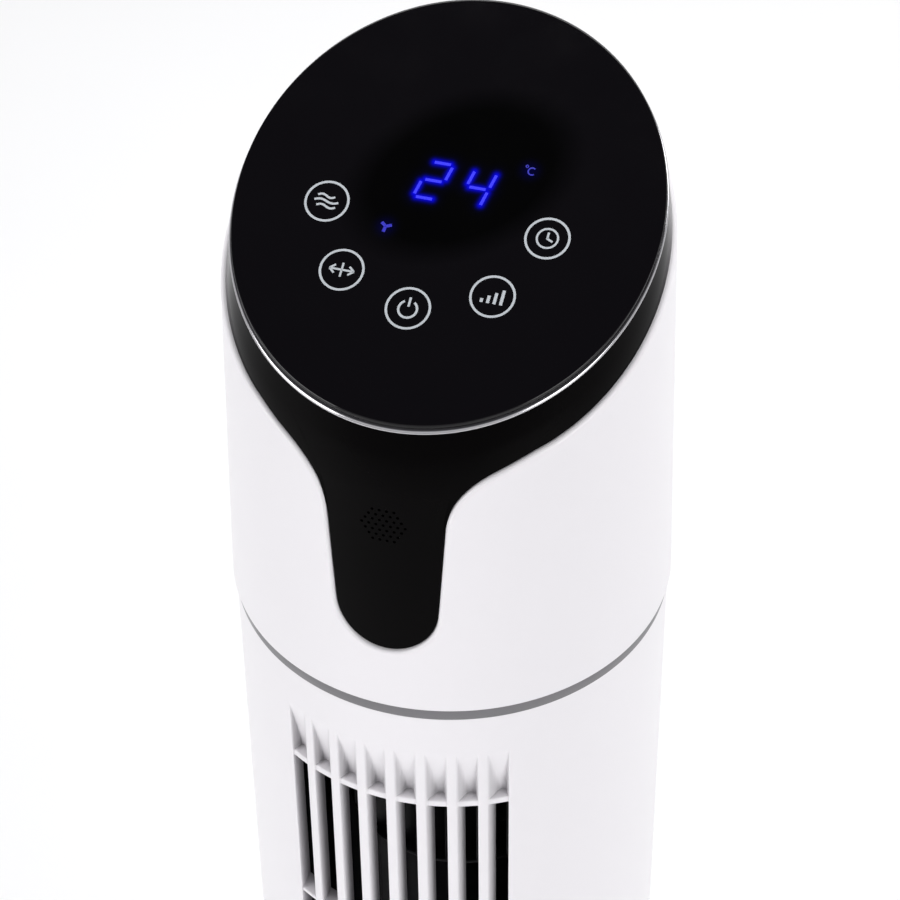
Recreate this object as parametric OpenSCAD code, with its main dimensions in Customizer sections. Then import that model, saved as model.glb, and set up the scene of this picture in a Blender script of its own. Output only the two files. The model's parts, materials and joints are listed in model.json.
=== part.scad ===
// Tower fan: a slotted round column on a disc base, with a tilted touch panel on top.
// Millimetres, +Z up. The front faces -Y. The origin is on the floor under the column's axis.

/* [Overall] */
// Height of the trim ring's upper edge, where the head starts
head_z = 826; // [600:1:1000]
// Outer radius of the column
column_r = 78.9; // [78:0.1:80]
// Wall of the column's housings
wall = 2.4; // [2:0.1:3]

/* [Base] */
// Outer radius of the base disc
base_r = 150; // [140:1:180]
// Height of the base at the column
base_h = 46.5; // [46:0.5:50]
// Slope of the base's top, in degrees
base_slope = 16.5; // [12:0.5:17]
// Height of the rubber feet
foot_h = 3; // [2:0.5:4]

/* [Head] */
// Outer radius of the head at its lower edge
head_r = 80; // [79.5:0.1:81]
// Radius lost per millimetre of height
head_taper = 0.0266; // [0.02:0.001:0.03]
// Wall of the head shell
head_wall = 2.6; // [2.2:0.1:3]
// Height of the shell's sloping rim on the axis, above head_z
rim_h = 144.2; // [140:0.1:150]
// Slope of that rim, in degrees
rim_tilt = 26.6; // [25:0.1:30]
// Height of the panel's face on the axis, above head_z
panel_h = 158.7; // [157:0.1:162]
// Slope of the panel, in degrees
panel_tilt = 25; // [24:0.5:26]
// Radius of the panel, seen from straight above
panel_r = 72.1; // [70:0.1:73]
// Height of the panel plate, measured upright
panel_t = 1.7; // [1.5:0.1:3]

/* [Tongue] */
// Radius of the tongue's lower end
tongue_r = 18.6; // [15:0.1:20]
// Height of that end's centre above head_z
tongue_z = 45.2; // [40:0.1:55]
// Half width of the tongue where it starts to flare
flare_x = 20.8; // [18:0.1:24]
// Height at which it starts to flare
flare_z = 83.2; // [80:0.1:90]
// Radius of the flare
flare_r = 28; // [24:1:30]
// Length of the straight edge from the flare to the sloping rim
flare_run = 18; // [16:0.5:20]
// How far the black insert lies behind the shell's face
insert_in = 1.2; // [0.6:0.1:1.6]

/* [Air outlet] */
// Number of slots
slots = 8; // [6:1:10]
// Angle from slot to slot
slot_pitch = 8.1; // [7.5:0.1:9]
// Width of a slot
slot_w = 7.4; // [6:0.1:8]
// Top of the slots, below head_z
slot_top = 24; // [20:1:30]
// Height of the scoop at each end of a slot
scoop_h = 25.4; // [20:0.1:30]
// Distance from one cross rib to the next
rib_pitch = 78.6; // [70:0.1:80]
// Number of windows between cross ribs
windows = 7; // [3:1:7]
// Thickness of a cross rib
rib_t = 1.8; // [1.5:0.1:3]
// Depth of the grille bars
bar_depth = 8; // [7:0.5:10]

/* [Impeller] */
// Radius of the impeller
imp_r = 46; // [40:1:46]
// Number of blades
blades = 24; // [18:1:28]
// Number of sections
sections = 6; // [4:1:8]
// Place of its axis to the right of the column's axis
imp_x = 2; // [0:0.5:3]
// Place of its axis behind the column's axis
imp_y = 6; // [4:0.5:8]

/* [Oscillation drive] */
// Tooth module of the gears
tooth = 1.25; // [1.25:0.05:1.25]
// Teeth on the ring gear
ring_teeth = 72; // [72:1:72]
// Teeth on the pinion
pinion_teeth = 18; // [18:1:18]

/* [Hidden] */
$fn = 96;

big = 400;
eps = 0.5;
// Radial gap of a shaft in its bearing, and the gap between parts that only sit together
run = 0.05;
gap = 0.15;

// Levels, from the floor up
floor_z = foot_h;
floor_t = 3;
lead_z = 10.5;
gland_z = 15.6;
lead_r = 3;
web_z = 18;
bearing_top = 37;
slide_t = 1.4;
gear_z = bearing_top + slide_t + 0.2;
gear_t = 6;
table_z = base_h + 0.7;
table_t = 3;
housing_z = table_z + 6;
ring_t = 5.3;
housing_top = head_z - ring_t;
lip_h = 10;
grille_top = head_z - slot_top;
rib_top = grille_top - scoop_h;
grille_bottom = rib_top - windows * rib_pitch - rib_t - scoop_h;
low_deck = grille_bottom - 9;
deck_t = 3;
top_deck = grille_top + 4;
imp_bottom = low_deck + 13;
imp_top = top_deck - 8;
disc_t = 1.6;
motor_top = low_deck - 6;

// Radii
hub_r = 22;
base_open_r = 71;
column_in = column_r - wall;
table_r = column_in - 0.3;
scoop_depth = bar_depth - 1;
slot_run = bar_depth + 5;
grille_in = column_r - bar_depth;
shaft_r = 4;
stub_r = 3;
gear_r = tooth * ring_teeth / 2;
pinion_r = tooth * pinion_teeth / 2;
pinion_x = gear_r + pinion_r + 0.1;
// The seam between the housings is a plane behind the column's axis
seam_y = 30;
boss_x = 65;
boss_levels = [90, 300, 540, 770];
harness_at = [-54, 45];

function arc(c, r, from, to, n = 12) =
  [for (i = [0 : n]) let (a = from + (to - from) * i / n) [c[0] + r * cos(a), c[1] + r * sin(a)]];
function spread(n, pitch) = [for (i = [0 : n - 1]) (i - (n - 1) / 2) * pitch];
function head_radius(h) = head_r - head_taper * h;

module tube(ro, ri, h) {
  difference() {
    cylinder(r = ro, h = h);
    translate([0, 0, -eps]) cylinder(r = ri, h = h + 2 * eps);
  }
}

// Everything under a plane that rises towards the back, h above head_z on the axis
module under(h, tilt) {
  translate([0, 0, head_z + h]) rotate([tilt, 0, 0])
    translate([-big / 2, -big / 2, -big]) cube(big);
}

// A layer between two parallel sloping planes
module layer(low, high, tilt) {
  difference() {
    under(high, tilt);
    under(low, tilt);
  }
}

// The head's taper as a solid, grown or shrunk by a radius
module head_cone(grow, h = 200) {
  translate([0, 0, head_z])
    cylinder(r1 = head_r + grow, r2 = head_radius(h) + grow, h = h);
}

module head_skin(outer, inner) {
  difference() {
    head_cone(outer);
    translate([0, 0, -eps]) head_cone(inner, 200 + 2 * eps);
  }
}

// Moves to the centre of the panel's plane and leans with it, drop below the face
module on_panel(drop) {
  translate([0, 0, head_z + panel_h]) rotate([panel_tilt, 0, 0]) translate([0, 0, -drop])
    children();
}

module screw(len, r, head, head_h) {
  union() {
    translate([0, 0, -0.4]) cylinder(r = r, h = len + 0.4, $fn = 24);
    translate([0, 0, -head_h]) cylinder(r = head, h = head_h - 0.02, $fn = 24);
  }
}

module rounded_plate(w, h, r, t) {
  linear_extrude(t) polygon(concat(
    arc([w / 2 - r, h / 2 - r], r, 0, 90, 6),
    arc([-w / 2 + r, h / 2 - r], r, 90, 180, 6),
    arc([-w / 2 + r, -h / 2 + r], r, 180, 270, 6),
    arc([w / 2 - r, -h / 2 + r], r, 270, 360, 6)));
}

// A round wire along a list of points, as one swept skin
function toward(p, i) = let (a = p[max(i - 1, 0)], b = p[min(i + 1, len(p) - 1)]) (b - a) / norm(b - a);
function wire_ring(p, i, r, sides) =
  let (t = toward(p, i), u = cross(t, [0.3, 0.9, 0.31]), side = u / norm(u), up = cross(t, side))
  [for (k = [0 : sides - 1]) p[i] + r * (cos(k * 360 / sides) * side + sin(k * 360 / sides) * up)];
module wire(p, r, sides = 8) {
  n = len(p);
  points = [for (i = [0 : n - 1]) each wire_ring(p, i, r, sides)];
  walls = [for (i = [0 : n - 2], k = [0 : sides - 1]) let (a = i * sides + k, b = i * sides + (k + 1) % sides)
    each [[a, a + sides, b], [b, a + sides, b + sides]]];
  ends = [[for (k = [0 : sides - 1]) k], [for (k = [sides - 1 : -1 : 0]) (n - 1) * sides + k]];
  polyhedron(points, concat(walls, ends));
}

// The same points with each inner corner cut by a short bend
function bends(p, cut) = [for (i = [0 : len(p) - 1])
  if (i == 0 || i == len(p) - 1) p[i]
  else each [for (t = [0 : 0.25 : 1])
    let (a = p[i] + cut * (p[i - 1] - p[i]) / norm(p[i - 1] - p[i]),
      b = p[i] + cut * (p[i + 1] - p[i]) / norm(p[i + 1] - p[i]))
    (1 - t) * (1 - t) * a + 2 * t * (1 - t) * p[i] + t * t * b]];

// ---- Gears ----
function roll(base, r) = let (c = acos(min(1, base / r))) tan(c) * 180 / PI - c;
function half_tooth(n, r, play) =
  let (pitch_r = tooth * n / 2, base = pitch_r * cos(20))
  90 / n - play + roll(base, pitch_r) - roll(base, max(r, base));

module gear(n, h, play) {
  pitch_r = tooth * n / 2;
  levels = [pitch_r - 1.25 * tooth, pitch_r - 0.4 * tooth, pitch_r + 0.3 * tooth, pitch_r + tooth];
  linear_extrude(h) polygon([for (i = [0 : n - 1], s = [-1, 1], k = [0 : 3])
    let (r = levels[s < 0 ? k : 3 - k], a = i * 360 / n + s * half_tooth(n, r, play))
    [r * cos(a), r * sin(a)]]);
}

// ---- Base ----
base_bolt_angles = [30, 70, 110, 150, 210, 250, 290, 330];
base_bolt_r = 118;
edge_r = 12;

function base_outline(inset, bottom) =
  let (c = [base_r - edge_r, 18], r = edge_r - inset,
    knee = c + [r * sin(base_slope), r * cos(base_slope)],
    top = base_h - inset,
    flat_r = knee[0] - (top - knee[1]) / tan(base_slope))
  concat([[base_open_r + inset, bottom], [base_r - inset, bottom]],
    arc(c, r, 0, 90 - base_slope, 8),
    [[flat_r, top], [base_open_r + inset, top]]);

module base_solid() {
  rotate_extrude($fn = 180) polygon(base_outline(0, floor_z + 0.5));
}

module base_hollow() {
  rotate_extrude($fn = 180) polygon(base_outline(2.6, floor_z));
}

module base_bosses(r, z) {
  for (a = base_bolt_angles) rotate(a) translate([base_bolt_r, 0, z]) cylinder(r = r, h = 60, $fn = 24);
}

module gland_axis(r, y, len) {
  translate([0, y, gland_z]) rotate([-90, 0, 0]) cylinder(r = r, h = len, $fn = 48);
}

module base_shell() {
  difference() {
    base_solid();
    difference() {
      base_hollow();
      base_bosses(4.5, floor_z + floor_t + 0.1);
      gland_axis(9, 139, 20);
    }
    translate([0, 0, floor_z - eps]) cylinder(r = base_open_r + 3, h = 34);
    intersection() {
      base_bosses(1.4, floor_z);
      cylinder(r = base_r, h = 24);
    }
    gland_axis(5.95, 130, 30);
    gland_axis(8.2, 147.2, 10);
  }
}

module base_front_half() {
  color("whitesmoke") intersection() {
    base_shell();
    translate([-base_r, -base_r - 0.1, 0]) cube([2 * base_r, base_r, 60]);
  }
}

module base_rear_half() {
  color("whitesmoke") intersection() {
    base_shell();
    translate([-base_r, 0.1, 0]) cube([2 * base_r, base_r, 60]);
  }
}

motor_posts = [[pinion_x + 8, 17.5], [pinion_x + 8, -17.5]];

module base_floor() {
  color("silver") difference() {
    union() {
      translate([0, 0, floor_z]) cylinder(r = base_r - 3.2, h = floor_t);
      rotate_extrude() polygon([[30, floor_z + 1], [33, floor_z + 1], [33, web_z + 3],
        [27, web_z + 3], [27, bearing_top], [hub_r + run, bearing_top], [hub_r + run, web_z],
        [30, web_z]]);
      for (p = motor_posts) translate([p[0], p[1], floor_z + 1]) cylinder(r = 3.5, h = 27, $fn = 24);
      for (r = [60, 100, 132]) translate([0, 0, floor_z + 1]) difference() {
        tube(r, r - 1.6, 5);
        translate([40, -24, 0]) cube([60, 48, 20]);
        translate([-6, 30, 0]) cube([12, 120, 20]);
        base_bosses(6, 0);
      }
    }
    translate([0, 0, floor_z - eps]) cylinder(r = 26.5, h = floor_t + 1);
    for (p = motor_posts) translate([p[0], p[1], 20]) cylinder(r = 1.3, h = 20, $fn = 24);
    intersection() {
      base_bosses(1.8, 0);
      cylinder(r = base_r, h = 8);
    }
    intersection() {
      base_bosses(3.6, 0);
      cylinder(r = base_r, h = floor_z + 1.4);
    }
    for (i = [0 : 5]) rotate(i * 60) translate([134, 0, 0]) cylinder(r = 8.1, h = floor_z + 0.8, $fn = 48);
    translate([0, 24, lead_z]) rotate([-90, 0, 0]) cylinder(r = 5, h = 14, $fn = 24);
  }
}

module rubber_feet() {
  color("dimgray") for (i = [0 : 5]) rotate(i * 60) translate([134, 0, 0])
    cylinder(r = 8, h = floor_z + 0.8, $fn = 48);
}

module base_screws() {
  color("silver") for (a = base_bolt_angles) rotate(a) translate([base_bolt_r, 0, floor_z + 1.4])
    screw(16, 1.4, 3.2, 1.3);
}

module cord_gland() {
  color("dimgray") difference() {
    union() {
      gland_axis(5.85, 136, 12);
      gland_axis(8, 147.3, 1.9);
    }
    gland_axis(3.6, 130, 30);
  }
}

module supply_lead() {
  color("dimgray") wire(bends([[0, 135.5, gland_z], [0, 124, gland_z], [0, 110, lead_z], [0, 0, lead_z],
    [0, 0, table_z + 4]], 5), lead_r);
}

module slide_ring() {
  color("ivory") translate([0, 0, bearing_top]) tube(27, hub_r + 0.4, slide_t);
}

module oscillation_motor() {
  color("silver") union() {
    translate([pinion_x + 8, 0, 13]) cylinder(r = 14, h = 19);
    translate([pinion_x, 0, 31.9]) cylinder(r = 4.5, h = 1.6, $fn = 48);
    translate([pinion_x, 0, 33]) cylinder(r = 2.5, h = 11, $fn = 48);
    difference() {
      translate([pinion_x + 8, 0, 31.2]) linear_extrude(0.8) polygon(concat(
        arc([0, 17.5], 3.5, 0, 180, 8), arc([0, -17.5], 3.5, 180, 360, 8)));
      for (p = motor_posts) translate([p[0], p[1], 25]) cylinder(r = 1.6, h = 20, $fn = 24);
    }
  }
}

module oscillation_motor_screws() {
  color("silver") for (p = motor_posts) translate([p[0], p[1], 32.1]) mirror([0, 0, 1])
    screw(9, 1.3, 2.6, 1.4);
}

module oscillation_pinion() {
  color("ivory") translate([pinion_x, 0, gear_z - 0.5]) difference() {
    rotate(180 / pinion_teeth) gear(pinion_teeth, gear_t + 0.5, 0.5);
    translate([0, 0, -eps]) cylinder(r = 2.5 + run, h = 20, $fn = 48);
  }
}

// ---- Turntable ----
module turntable() {
  color("white") difference() {
    union() {
      translate([0, 0, table_z]) cylinder(r = table_r, h = table_t);
      translate([0, 0, gear_z + gear_t]) cylinder(r = 34, h = table_z - gear_z - gear_t + 1);
      translate([0, 0, web_z - 0.3]) cylinder(r = hub_r, h = table_z - web_z + 1);
    }
    cylinder(r = 16, h = 100);
    for (a = [30, 150, 270]) rotate(a) translate([27.5, 0, gear_z]) cylinder(r = 1.3, h = gear_t + 4.5, $fn = 24);
    for (a = [90, 210, 330]) rotate(a) translate([19, 0, 10]) cylinder(r = 1.1, h = 20, $fn = 24);
  }
}

module ring_gear() {
  color("ivory") translate([0, 0, gear_z]) difference() {
    gear(ring_teeth, gear_t, 0.1);
    translate([0, 0, -eps]) cylinder(r = hub_r + 0.2, h = 20);
    for (a = [30, 150, 270]) rotate(a) translate([27.5, 0, -eps]) {
      cylinder(r = 1.6, h = 20, $fn = 24);
      cylinder(r = 3.2, h = eps + 2.2, $fn = 24);
    }
  }
}

module gear_screws() {
  color("silver") for (a = [30, 150, 270]) rotate(a) translate([27.5, 0, gear_z + 2.2])
    screw(7.5, 1.3, 2.8, 1.7);
}

module retaining_ring() {
  color("silver") translate([0, 0, web_z - 3.3]) difference() {
    tube(26, 16.2, 3);
    for (a = [90, 210, 330]) rotate(a) translate([19, 0, -eps]) cylinder(r = 1.3, h = 10, $fn = 24);
  }
}

module retaining_screws() {
  color("silver") for (a = [90, 210, 330]) rotate(a) translate([19, 0, web_z - 3.3])
    screw(11, 1.1, 2.2, 1.2);
}

module lower_trim_ring() {
  lip = column_in - 0.2;
  color("dimgray") rotate_extrude($fn = 180) polygon([[lip, table_z],
    [column_r + 0.1, table_z], [column_r + 0.1, housing_z], [lip, housing_z],
    [lip, housing_z + lip_h], [lip - 2, housing_z + lip_h], [lip - 2, table_z + table_t],
    [lip, table_z + table_t]]);
}

// ---- Column housings ----
module screw_axis(x, z, r, from, to) {
  translate([x, from, z]) rotate([-90, 0, 0]) cylinder(r = r, h = to - from, $fn = 24);
}

// Radial cutter or bar at an angle from the front, between two radii and two levels
module radial(angle, w, r1, r2, z1, z2) {
  rotate(angle) translate([-w / 2, -r2, z1]) cube([w, r2 - r1, z2 - z1]);
}

// What a slot takes away, seen from above: its walls run straight back, and lean in a little
module slot_prism(angle, w_face, w_back, depth, z1, z2) {
  face_y = -column_r * cos(angle);
  half = w_face / 2 * cos(angle);
  back = w_back / 2 * cos(angle);
  translate([column_r * sin(angle), face_y, z1]) linear_extrude(z2 - z1) polygon([
    [-back, depth], [back, depth], [half, 0], [half, -12], [-half, -12], [-half, 0]]);
}

// The end of a slot is a scoop: its floor slopes in from the face to the first cross rib
module scoop(angle, face_z, shelf_z) {
  intersection() {
    slot_prism(angle, slot_w, slot_w - 3, slot_run, min(face_z, shelf_z), max(face_z, shelf_z));
    rotate(angle - 90) translate([0, 2 * slot_w, 0]) rotate([90, 0, 0])
      linear_extrude(4 * slot_w) polygon([[column_r - scoop_depth, shelf_z],
        [column_r + 3, shelf_z], [column_r + 3, face_z], [column_r - 0.1, face_z]]);
  }
}

module outlet_cuts() {
  for (a = spread(slots, slot_pitch)) {
    scoop(a, grille_top, rib_top);
    scoop(a, grille_bottom, grille_bottom + scoop_h);
    radial(a, slot_w - 0.2, column_r - 0.9, column_r + 2, grille_bottom + scoop_h - 0.1, rib_top + 0.1);
    for (i = [0 : windows - 1])
      slot_prism(a, slot_w, slot_w - 0.6, slot_run, rib_top - rib_t - (i + 1) * rib_pitch + rib_t,
        rib_top - rib_t - i * rib_pitch);
  }
}

module front_housing() {
  span = slots * slot_pitch + 14;
  color("white") difference() {
    union() {
      intersection() {
        translate([0, 0, housing_z]) tube(column_r, column_in, housing_top - housing_z);
        translate([-big / 2, -big + seam_y - 0.1, 0]) cube([big, big, 1000]);
      }
      translate([0, 0, grille_bottom - 2]) rotate(-90 - span / 2) rotate_extrude(angle = span)
        translate([grille_in, 0]) square([bar_depth - 0.5, grille_top - grille_bottom + 4]);
      for (z = boss_levels, x = [-boss_x, boss_x]) intersection() {
        screw_axis(x, z, 5.5, 14, seam_y - 0.1);
        cylinder(r = column_r - 0.5, h = 1000);
      }
    }
    outlet_cuts();
    for (z = boss_levels, x = [-boss_x, boss_x]) screw_axis(x, z, 1.4, 16, 40);
  }
}

intake_slots = 13;
intake_rows = 9;

module intake_cuts() {
  row = (rib_top - grille_bottom) / intake_rows;
  for (a = spread(intake_slots, 7.4), i = [0 : intake_rows - 1])
    radial(180 + a, 4.6, column_in - 3, column_r + 2, grille_bottom + 6 + i * row,
      grille_bottom + 6 + i * row + row - 6);
}

module rear_housing() {
  color("white") difference() {
    union() {
      intersection() {
        translate([0, 0, housing_z]) tube(column_r, column_in, housing_top - housing_z);
        translate([-big / 2, seam_y + 0.1, 0]) cube([big, big, 1000]);
      }
      for (z = boss_levels, x = [-boss_x, boss_x]) intersection() {
        screw_axis(x, z, 5.5, seam_y + 0.1, 60);
        cylinder(r = column_r - 0.5, h = 1000);
      }
    }
    intake_cuts();
    for (z = boss_levels, x = [-boss_x, boss_x]) {
      screw_axis(x, z, 1.8, seam_y - 5, 60);
      screw_axis(x, z, 3.6, 36.5, 60);
    }
  }
}

module housing_screws() {
  color("silver") for (z = boss_levels, x = [-boss_x, boss_x]) translate([x, 36.5, z])
    rotate([90, 0, 0]) screw(18, 1.4, 3.2, 2);
}

// ---- Decks and air duct ----
module deck(z) {
  difference() {
    translate([0, 0, z]) cylinder(r = column_in - 0.3, h = deck_t);
    translate([harness_at[0], harness_at[1], z - eps]) cylinder(r = 6, h = 10, $fn = 48);
    // Room for the grille's thicker wall
    translate([0, 0, z - eps]) rotate(-90 - 40) rotate_extrude(angle = 80)
      translate([grille_in - 0.3, 0]) square([20, 10]);
  }
}

module damper_places() {
  for (a = [45 : 90 : 315]) translate([imp_x, imp_y, 0]) rotate(a) translate([48, 0, 0]) children();
}

module lower_bulkhead() {
  color("gray") difference() {
    deck(low_deck);
    translate([imp_x, imp_y, low_deck - eps]) cylinder(r = 15, h = 10);
    damper_places() translate([0, 0, low_deck - eps]) cylinder(r = 2.6, h = 10, $fn = 24);
  }
}

head_boss_angles = [90, 210, 330];
head_boss_r = 67;

module upper_bulkhead() {
  color("gray") difference() {
    union() {
      deck(top_deck);
      translate([imp_x, imp_y, top_deck - 2]) cylinder(r = 15, h = 11);
      for (x = [-38, 38], y = [-24, 24]) translate([x, y, top_deck + 1]) cylinder(r = 3.5, h = 14, $fn = 24);
    }
    translate([imp_x, imp_y, top_deck - 5]) cylinder(r = 5, h = 30);
    translate([imp_x, imp_y, top_deck]) cylinder(r = 12.1, h = 30);
    for (a = head_boss_angles) rotate(a) translate([head_boss_r, 0, top_deck - eps])
      cylinder(r = 1.8, h = 10, $fn = 24);
    for (x = [-38, 38], y = [-24, 24]) translate([x, y, top_deck + 5]) cylinder(r = 1.2, h = 20, $fn = 24);
  }
}

duct_z = low_deck + deck_t + 0.1;
duct_h = top_deck - duct_z - 0.1;
guide_start = 100;
guide_end = 214;
outlet_x = 41;
outlet_y = -55.5;

// The guide's face leaves the impeller slowly as it turns to the outlet
function guide_r(a) = imp_r + 4 + 12 * pow((a - guide_start) / (guide_end - guide_start), 1.2);
function guide_line(grow) = [for (i = [0 : 22]) let (a = guide_start + (guide_end - guide_start) * i / 22)
  [imp_x + (guide_r(a) + grow) * cos(a), imp_y + (guide_r(a) + grow) * sin(a)]];
function reverse(list) = [for (i = [len(list) - 1 : -1 : 0]) list[i]];

module air_guide() {
  color("#202022") translate([0, 0, duct_z]) linear_extrude(duct_h) polygon(concat(
    guide_line(0), [[-outlet_x, outlet_y], [-outlet_x - 2, outlet_y + 0.4]], reverse(guide_line(2))));
}

module cutoff_bar() {
  color("#202022") translate([0, 0, duct_z]) linear_extrude(duct_h) polygon(concat(
    [[outlet_x, outlet_y], [outlet_x + 2, outlet_y + 0.4]],
    arc([imp_x + 47.5, imp_y - 23.5], 2.5, -10, 190, 10)));
}

// ---- Motor ----
module on_motor_axis() {
  translate([imp_x, imp_y, 0]) children();
}

stator_top = motor_top - 16;
stator_h = 30;
bell_screw_angles = [0 : 90 : 270];

module motor_dampers() {
  color("dimgray") damper_places() translate([0, 0, motor_top]) union() {
    cylinder(r = 6, h = low_deck - motor_top, $fn = 48);
    cylinder(r = 2.5, h = low_deck - motor_top + deck_t, $fn = 48);
    translate([0, 0, low_deck - motor_top + deck_t]) cylinder(r = 4.5, h = 1.5, $fn = 48);
  }
}

module bell(h) {
  difference() {
    union() {
      tube(42, 38, h);
      translate([0, 0, h - 2.5]) cylinder(r = 42, h = 2.5);
      translate([0, 0, h - 10]) cylinder(r = 10, h = 10);
    }
    translate([0, 0, -eps]) cylinder(r = shaft_r + run, h = h + 2 * eps, $fn = 48);
    for (a = bell_screw_angles) rotate(a) translate([36, 0, -eps]) cylinder(r = 2.2, h = h + 2, $fn = 24);
    for (a = [0 : 30 : 330]) rotate(a + 15) translate([22, -2, h - 4]) cube([11, 4, 6]);
  }
}

module motor_upper_bell() {
  color("silver") union() {
    on_motor_axis() translate([0, 0, stator_top]) bell(motor_top - stator_top);
    damper_places() translate([0, 0, motor_top - 3]) union() {
      cylinder(r = 6, h = 3, $fn = 48);
      translate([-12, -4, 0]) cube([10, 8, 3]);
    }
  }
}

module motor_lower_bell() {
  color("silver") on_motor_axis() translate([0, 0, stator_top - stator_h]) mirror([0, 0, 1]) bell(16);
}

module stator_core() {
  color("#6a6a70") on_motor_axis() translate([0, 0, stator_top - stator_h]) difference() {
    cylinder(r = 42, h = stator_h);
    translate([0, 0, -eps]) cylinder(r = 20.5, h = stator_h + 2 * eps);
    for (a = [0 : 45 : 315]) rotate(a + 22.5) translate([29, 0, -eps])
      cylinder(r = 5.2, h = stator_h + 2 * eps, $fn = 48);
    for (a = bell_screw_angles) rotate(a) translate([36, 0, -eps])
      cylinder(r = 2.2, h = stator_h + 2 * eps, $fn = 24);
  }
}

module stator_coils() {
  color("peru") on_motor_axis() {
    for (a = [0 : 45 : 315]) rotate(a + 22.5) translate([29, 0, stator_top - stator_h - 8])
      cylinder(r = 5, h = stator_h + 16, $fn = 48);
    for (z = [stator_top + 0.1, stator_top - stator_h - 8]) translate([0, 0, z]) tube(33, 25, 7.9);
  }
}

module motor_screws() {
  len = motor_top - stator_top + stator_h + 15;
  color("silver") on_motor_axis() for (a = bell_screw_angles) rotate(a)
    translate([36, 0, stator_top - stator_h - 16]) screw(len, 1.9, 3.6, 2.4);
}

module run_capacitor() {
  color("black") translate([-45, 8, table_z + table_t]) rounded_plate(17, 38, 2, 28);
}

module motor_rotor() {
  color("silver") on_motor_axis() translate([0, 0, stator_top - stator_h]) difference() {
    cylinder(r = 20, h = stator_h);
    translate([0, 0, -eps]) cylinder(r = shaft_r, h = stator_h + 2 * eps, $fn = 48);
  }
}

module motor_shaft() {
  color("gainsboro") on_motor_axis() translate([0, 0, stator_top - stator_h - 20])
    cylinder(r = shaft_r, h = imp_bottom + 12 - stator_top + stator_h + 20, $fn = 48);
}

// ---- Impeller ----
function blade_face(shift) = [for (i = [0 : 4]) let (r = imp_r - 10 + 9.6 * i / 4,
    a = 16 * pow((imp_r - r) / 10, 1.5) + shift * 180 / PI / r)
  [r * cos(a), r * sin(a)]];

module impeller() {
  section_h = (imp_top - imp_bottom - disc_t) / sections;
  color("#26262a") on_motor_axis() union() {
    translate([0, 0, imp_bottom + 0.4]) linear_extrude(imp_top - imp_bottom - 0.8)
      for (i = [0 : blades - 1]) rotate(i * 360 / blades)
        polygon(concat(blade_face(0), reverse(blade_face(1.1))));
    difference() {
      for (i = [0 : sections]) translate([0, 0, imp_bottom + i * section_h]) {
        if (i == 0 || i == sections) cylinder(r = imp_r, h = disc_t);
        else tube(imp_r, imp_r - 16, disc_t);
      }
      translate([0, 0, imp_bottom - eps]) cylinder(r = 12, h = disc_t + 2 * eps);
      translate([0, 0, imp_top - disc_t - eps]) cylinder(r = stub_r, h = disc_t + 2 * eps, $fn = 48);
    }
    translate([0, 0, imp_top - 12]) tube(8, stub_r, 12 - disc_t / 2);
  }
}

module impeller_hub() {
  color("gainsboro") on_motor_axis() difference() {
    union() {
      translate([0, 0, imp_bottom - 7]) cylinder(r = 12, h = 18);
      translate([0, 0, imp_bottom + disc_t]) cylinder(r = 16, h = 2);
    }
    translate([0, 0, imp_bottom - 10]) cylinder(r = shaft_r, h = 40, $fn = 48);
    translate([0, 0, imp_bottom - 3.5]) rotate([0, 90, 0]) cylinder(r = 2, h = 20, $fn = 24);
  }
}

module hub_set_screw() {
  color("dimgray") on_motor_axis() translate([shaft_r, 0, imp_bottom - 3.5]) rotate([0, 90, 0])
    cylinder(r = 2, h = 7, $fn = 24);
}

module top_shaft() {
  color("gainsboro") on_motor_axis() translate([0, 0, imp_top - 12]) cylinder(r = stub_r, h = 32, $fn = 48);
}

module bearing_bush() {
  color("peru") on_motor_axis() translate([0, 0, top_deck + 0.5]) difference() {
    intersection() {
      translate([0, 0, 4.5]) sphere(r = 7);
      cylinder(r = 10, h = 9);
    }
    translate([0, 0, -eps]) cylinder(r = stub_r + run, h = 20, $fn = 48);
  }
}

module bearing_holder() {
  color("dimgray") on_motor_axis() translate([0, 0, top_deck]) difference() {
    cylinder(r = 12, h = 9);
    translate([0, 0, 5]) sphere(r = 7.05);
    translate([0, 0, -eps]) cylinder(r = 5.2, h = 20, $fn = 48);
  }
}

// ---- Electronics under the head ----
module power_board() {
  color("darkgreen") translate([0, 0, top_deck + 15]) difference() {
    translate([-45, -31, 0]) cube([90, 62, 1.6]);
    for (x = [-38, 38], y = [-24, 24]) translate([x, y, -eps]) cylinder(r = 1.6, h = 5, $fn = 24);
  }
}

module power_parts() {
  z = top_deck + 16.6;
  color("gold") union() {
    translate([-30, -16, z]) cube([30, 26, 22]);
    translate([6, -20, z]) cube([15, 19, 15]);
    translate([6, 3, z]) cube([15, 19, 15]);
    translate([31, 8, z]) cylinder(r = 6.3, h = 20, $fn = 48);
    translate([26, -20, z]) cube([12, 6, 14]);
    translate([-24, 16, z]) cube([34, 7, 8]);
  }
}

module wiring_harness() {
  x = harness_at[0];
  y = harness_at[1];
  color("black") {
    wire(bends([[0, 0, table_z + 4.4], [0, 0, 66], [-22, 22, 74], [x, y, 90], [x, y, head_z + 6],
      [-46, 30, head_z + 24], [-30, 26, head_z + 70], [-24, 20, head_z + 128]], 6), lead_r);
    wire(bends([[x + 4, y - 3, stator_top - 56], [-34, 33, stator_top - 60],
      [-19, 22, stator_top - 60], [-19, 22, stator_top - 46.7]], 4), 1.8);
  }
}

module trim_ring() {
  lip = column_in - 0.2;
  lip_bottom = head_z - lip_h - 4;
  color("gray") rotate_extrude($fn = 180) polygon([[lip - 2, lip_bottom], [lip, lip_bottom],
    [lip, housing_top], [column_r + 0.1, housing_top], [column_r + 0.7, head_z], [lip, head_z],
    [lip, head_z + lip_h], [lip - 2, head_z + lip_h]]);
}

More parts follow.
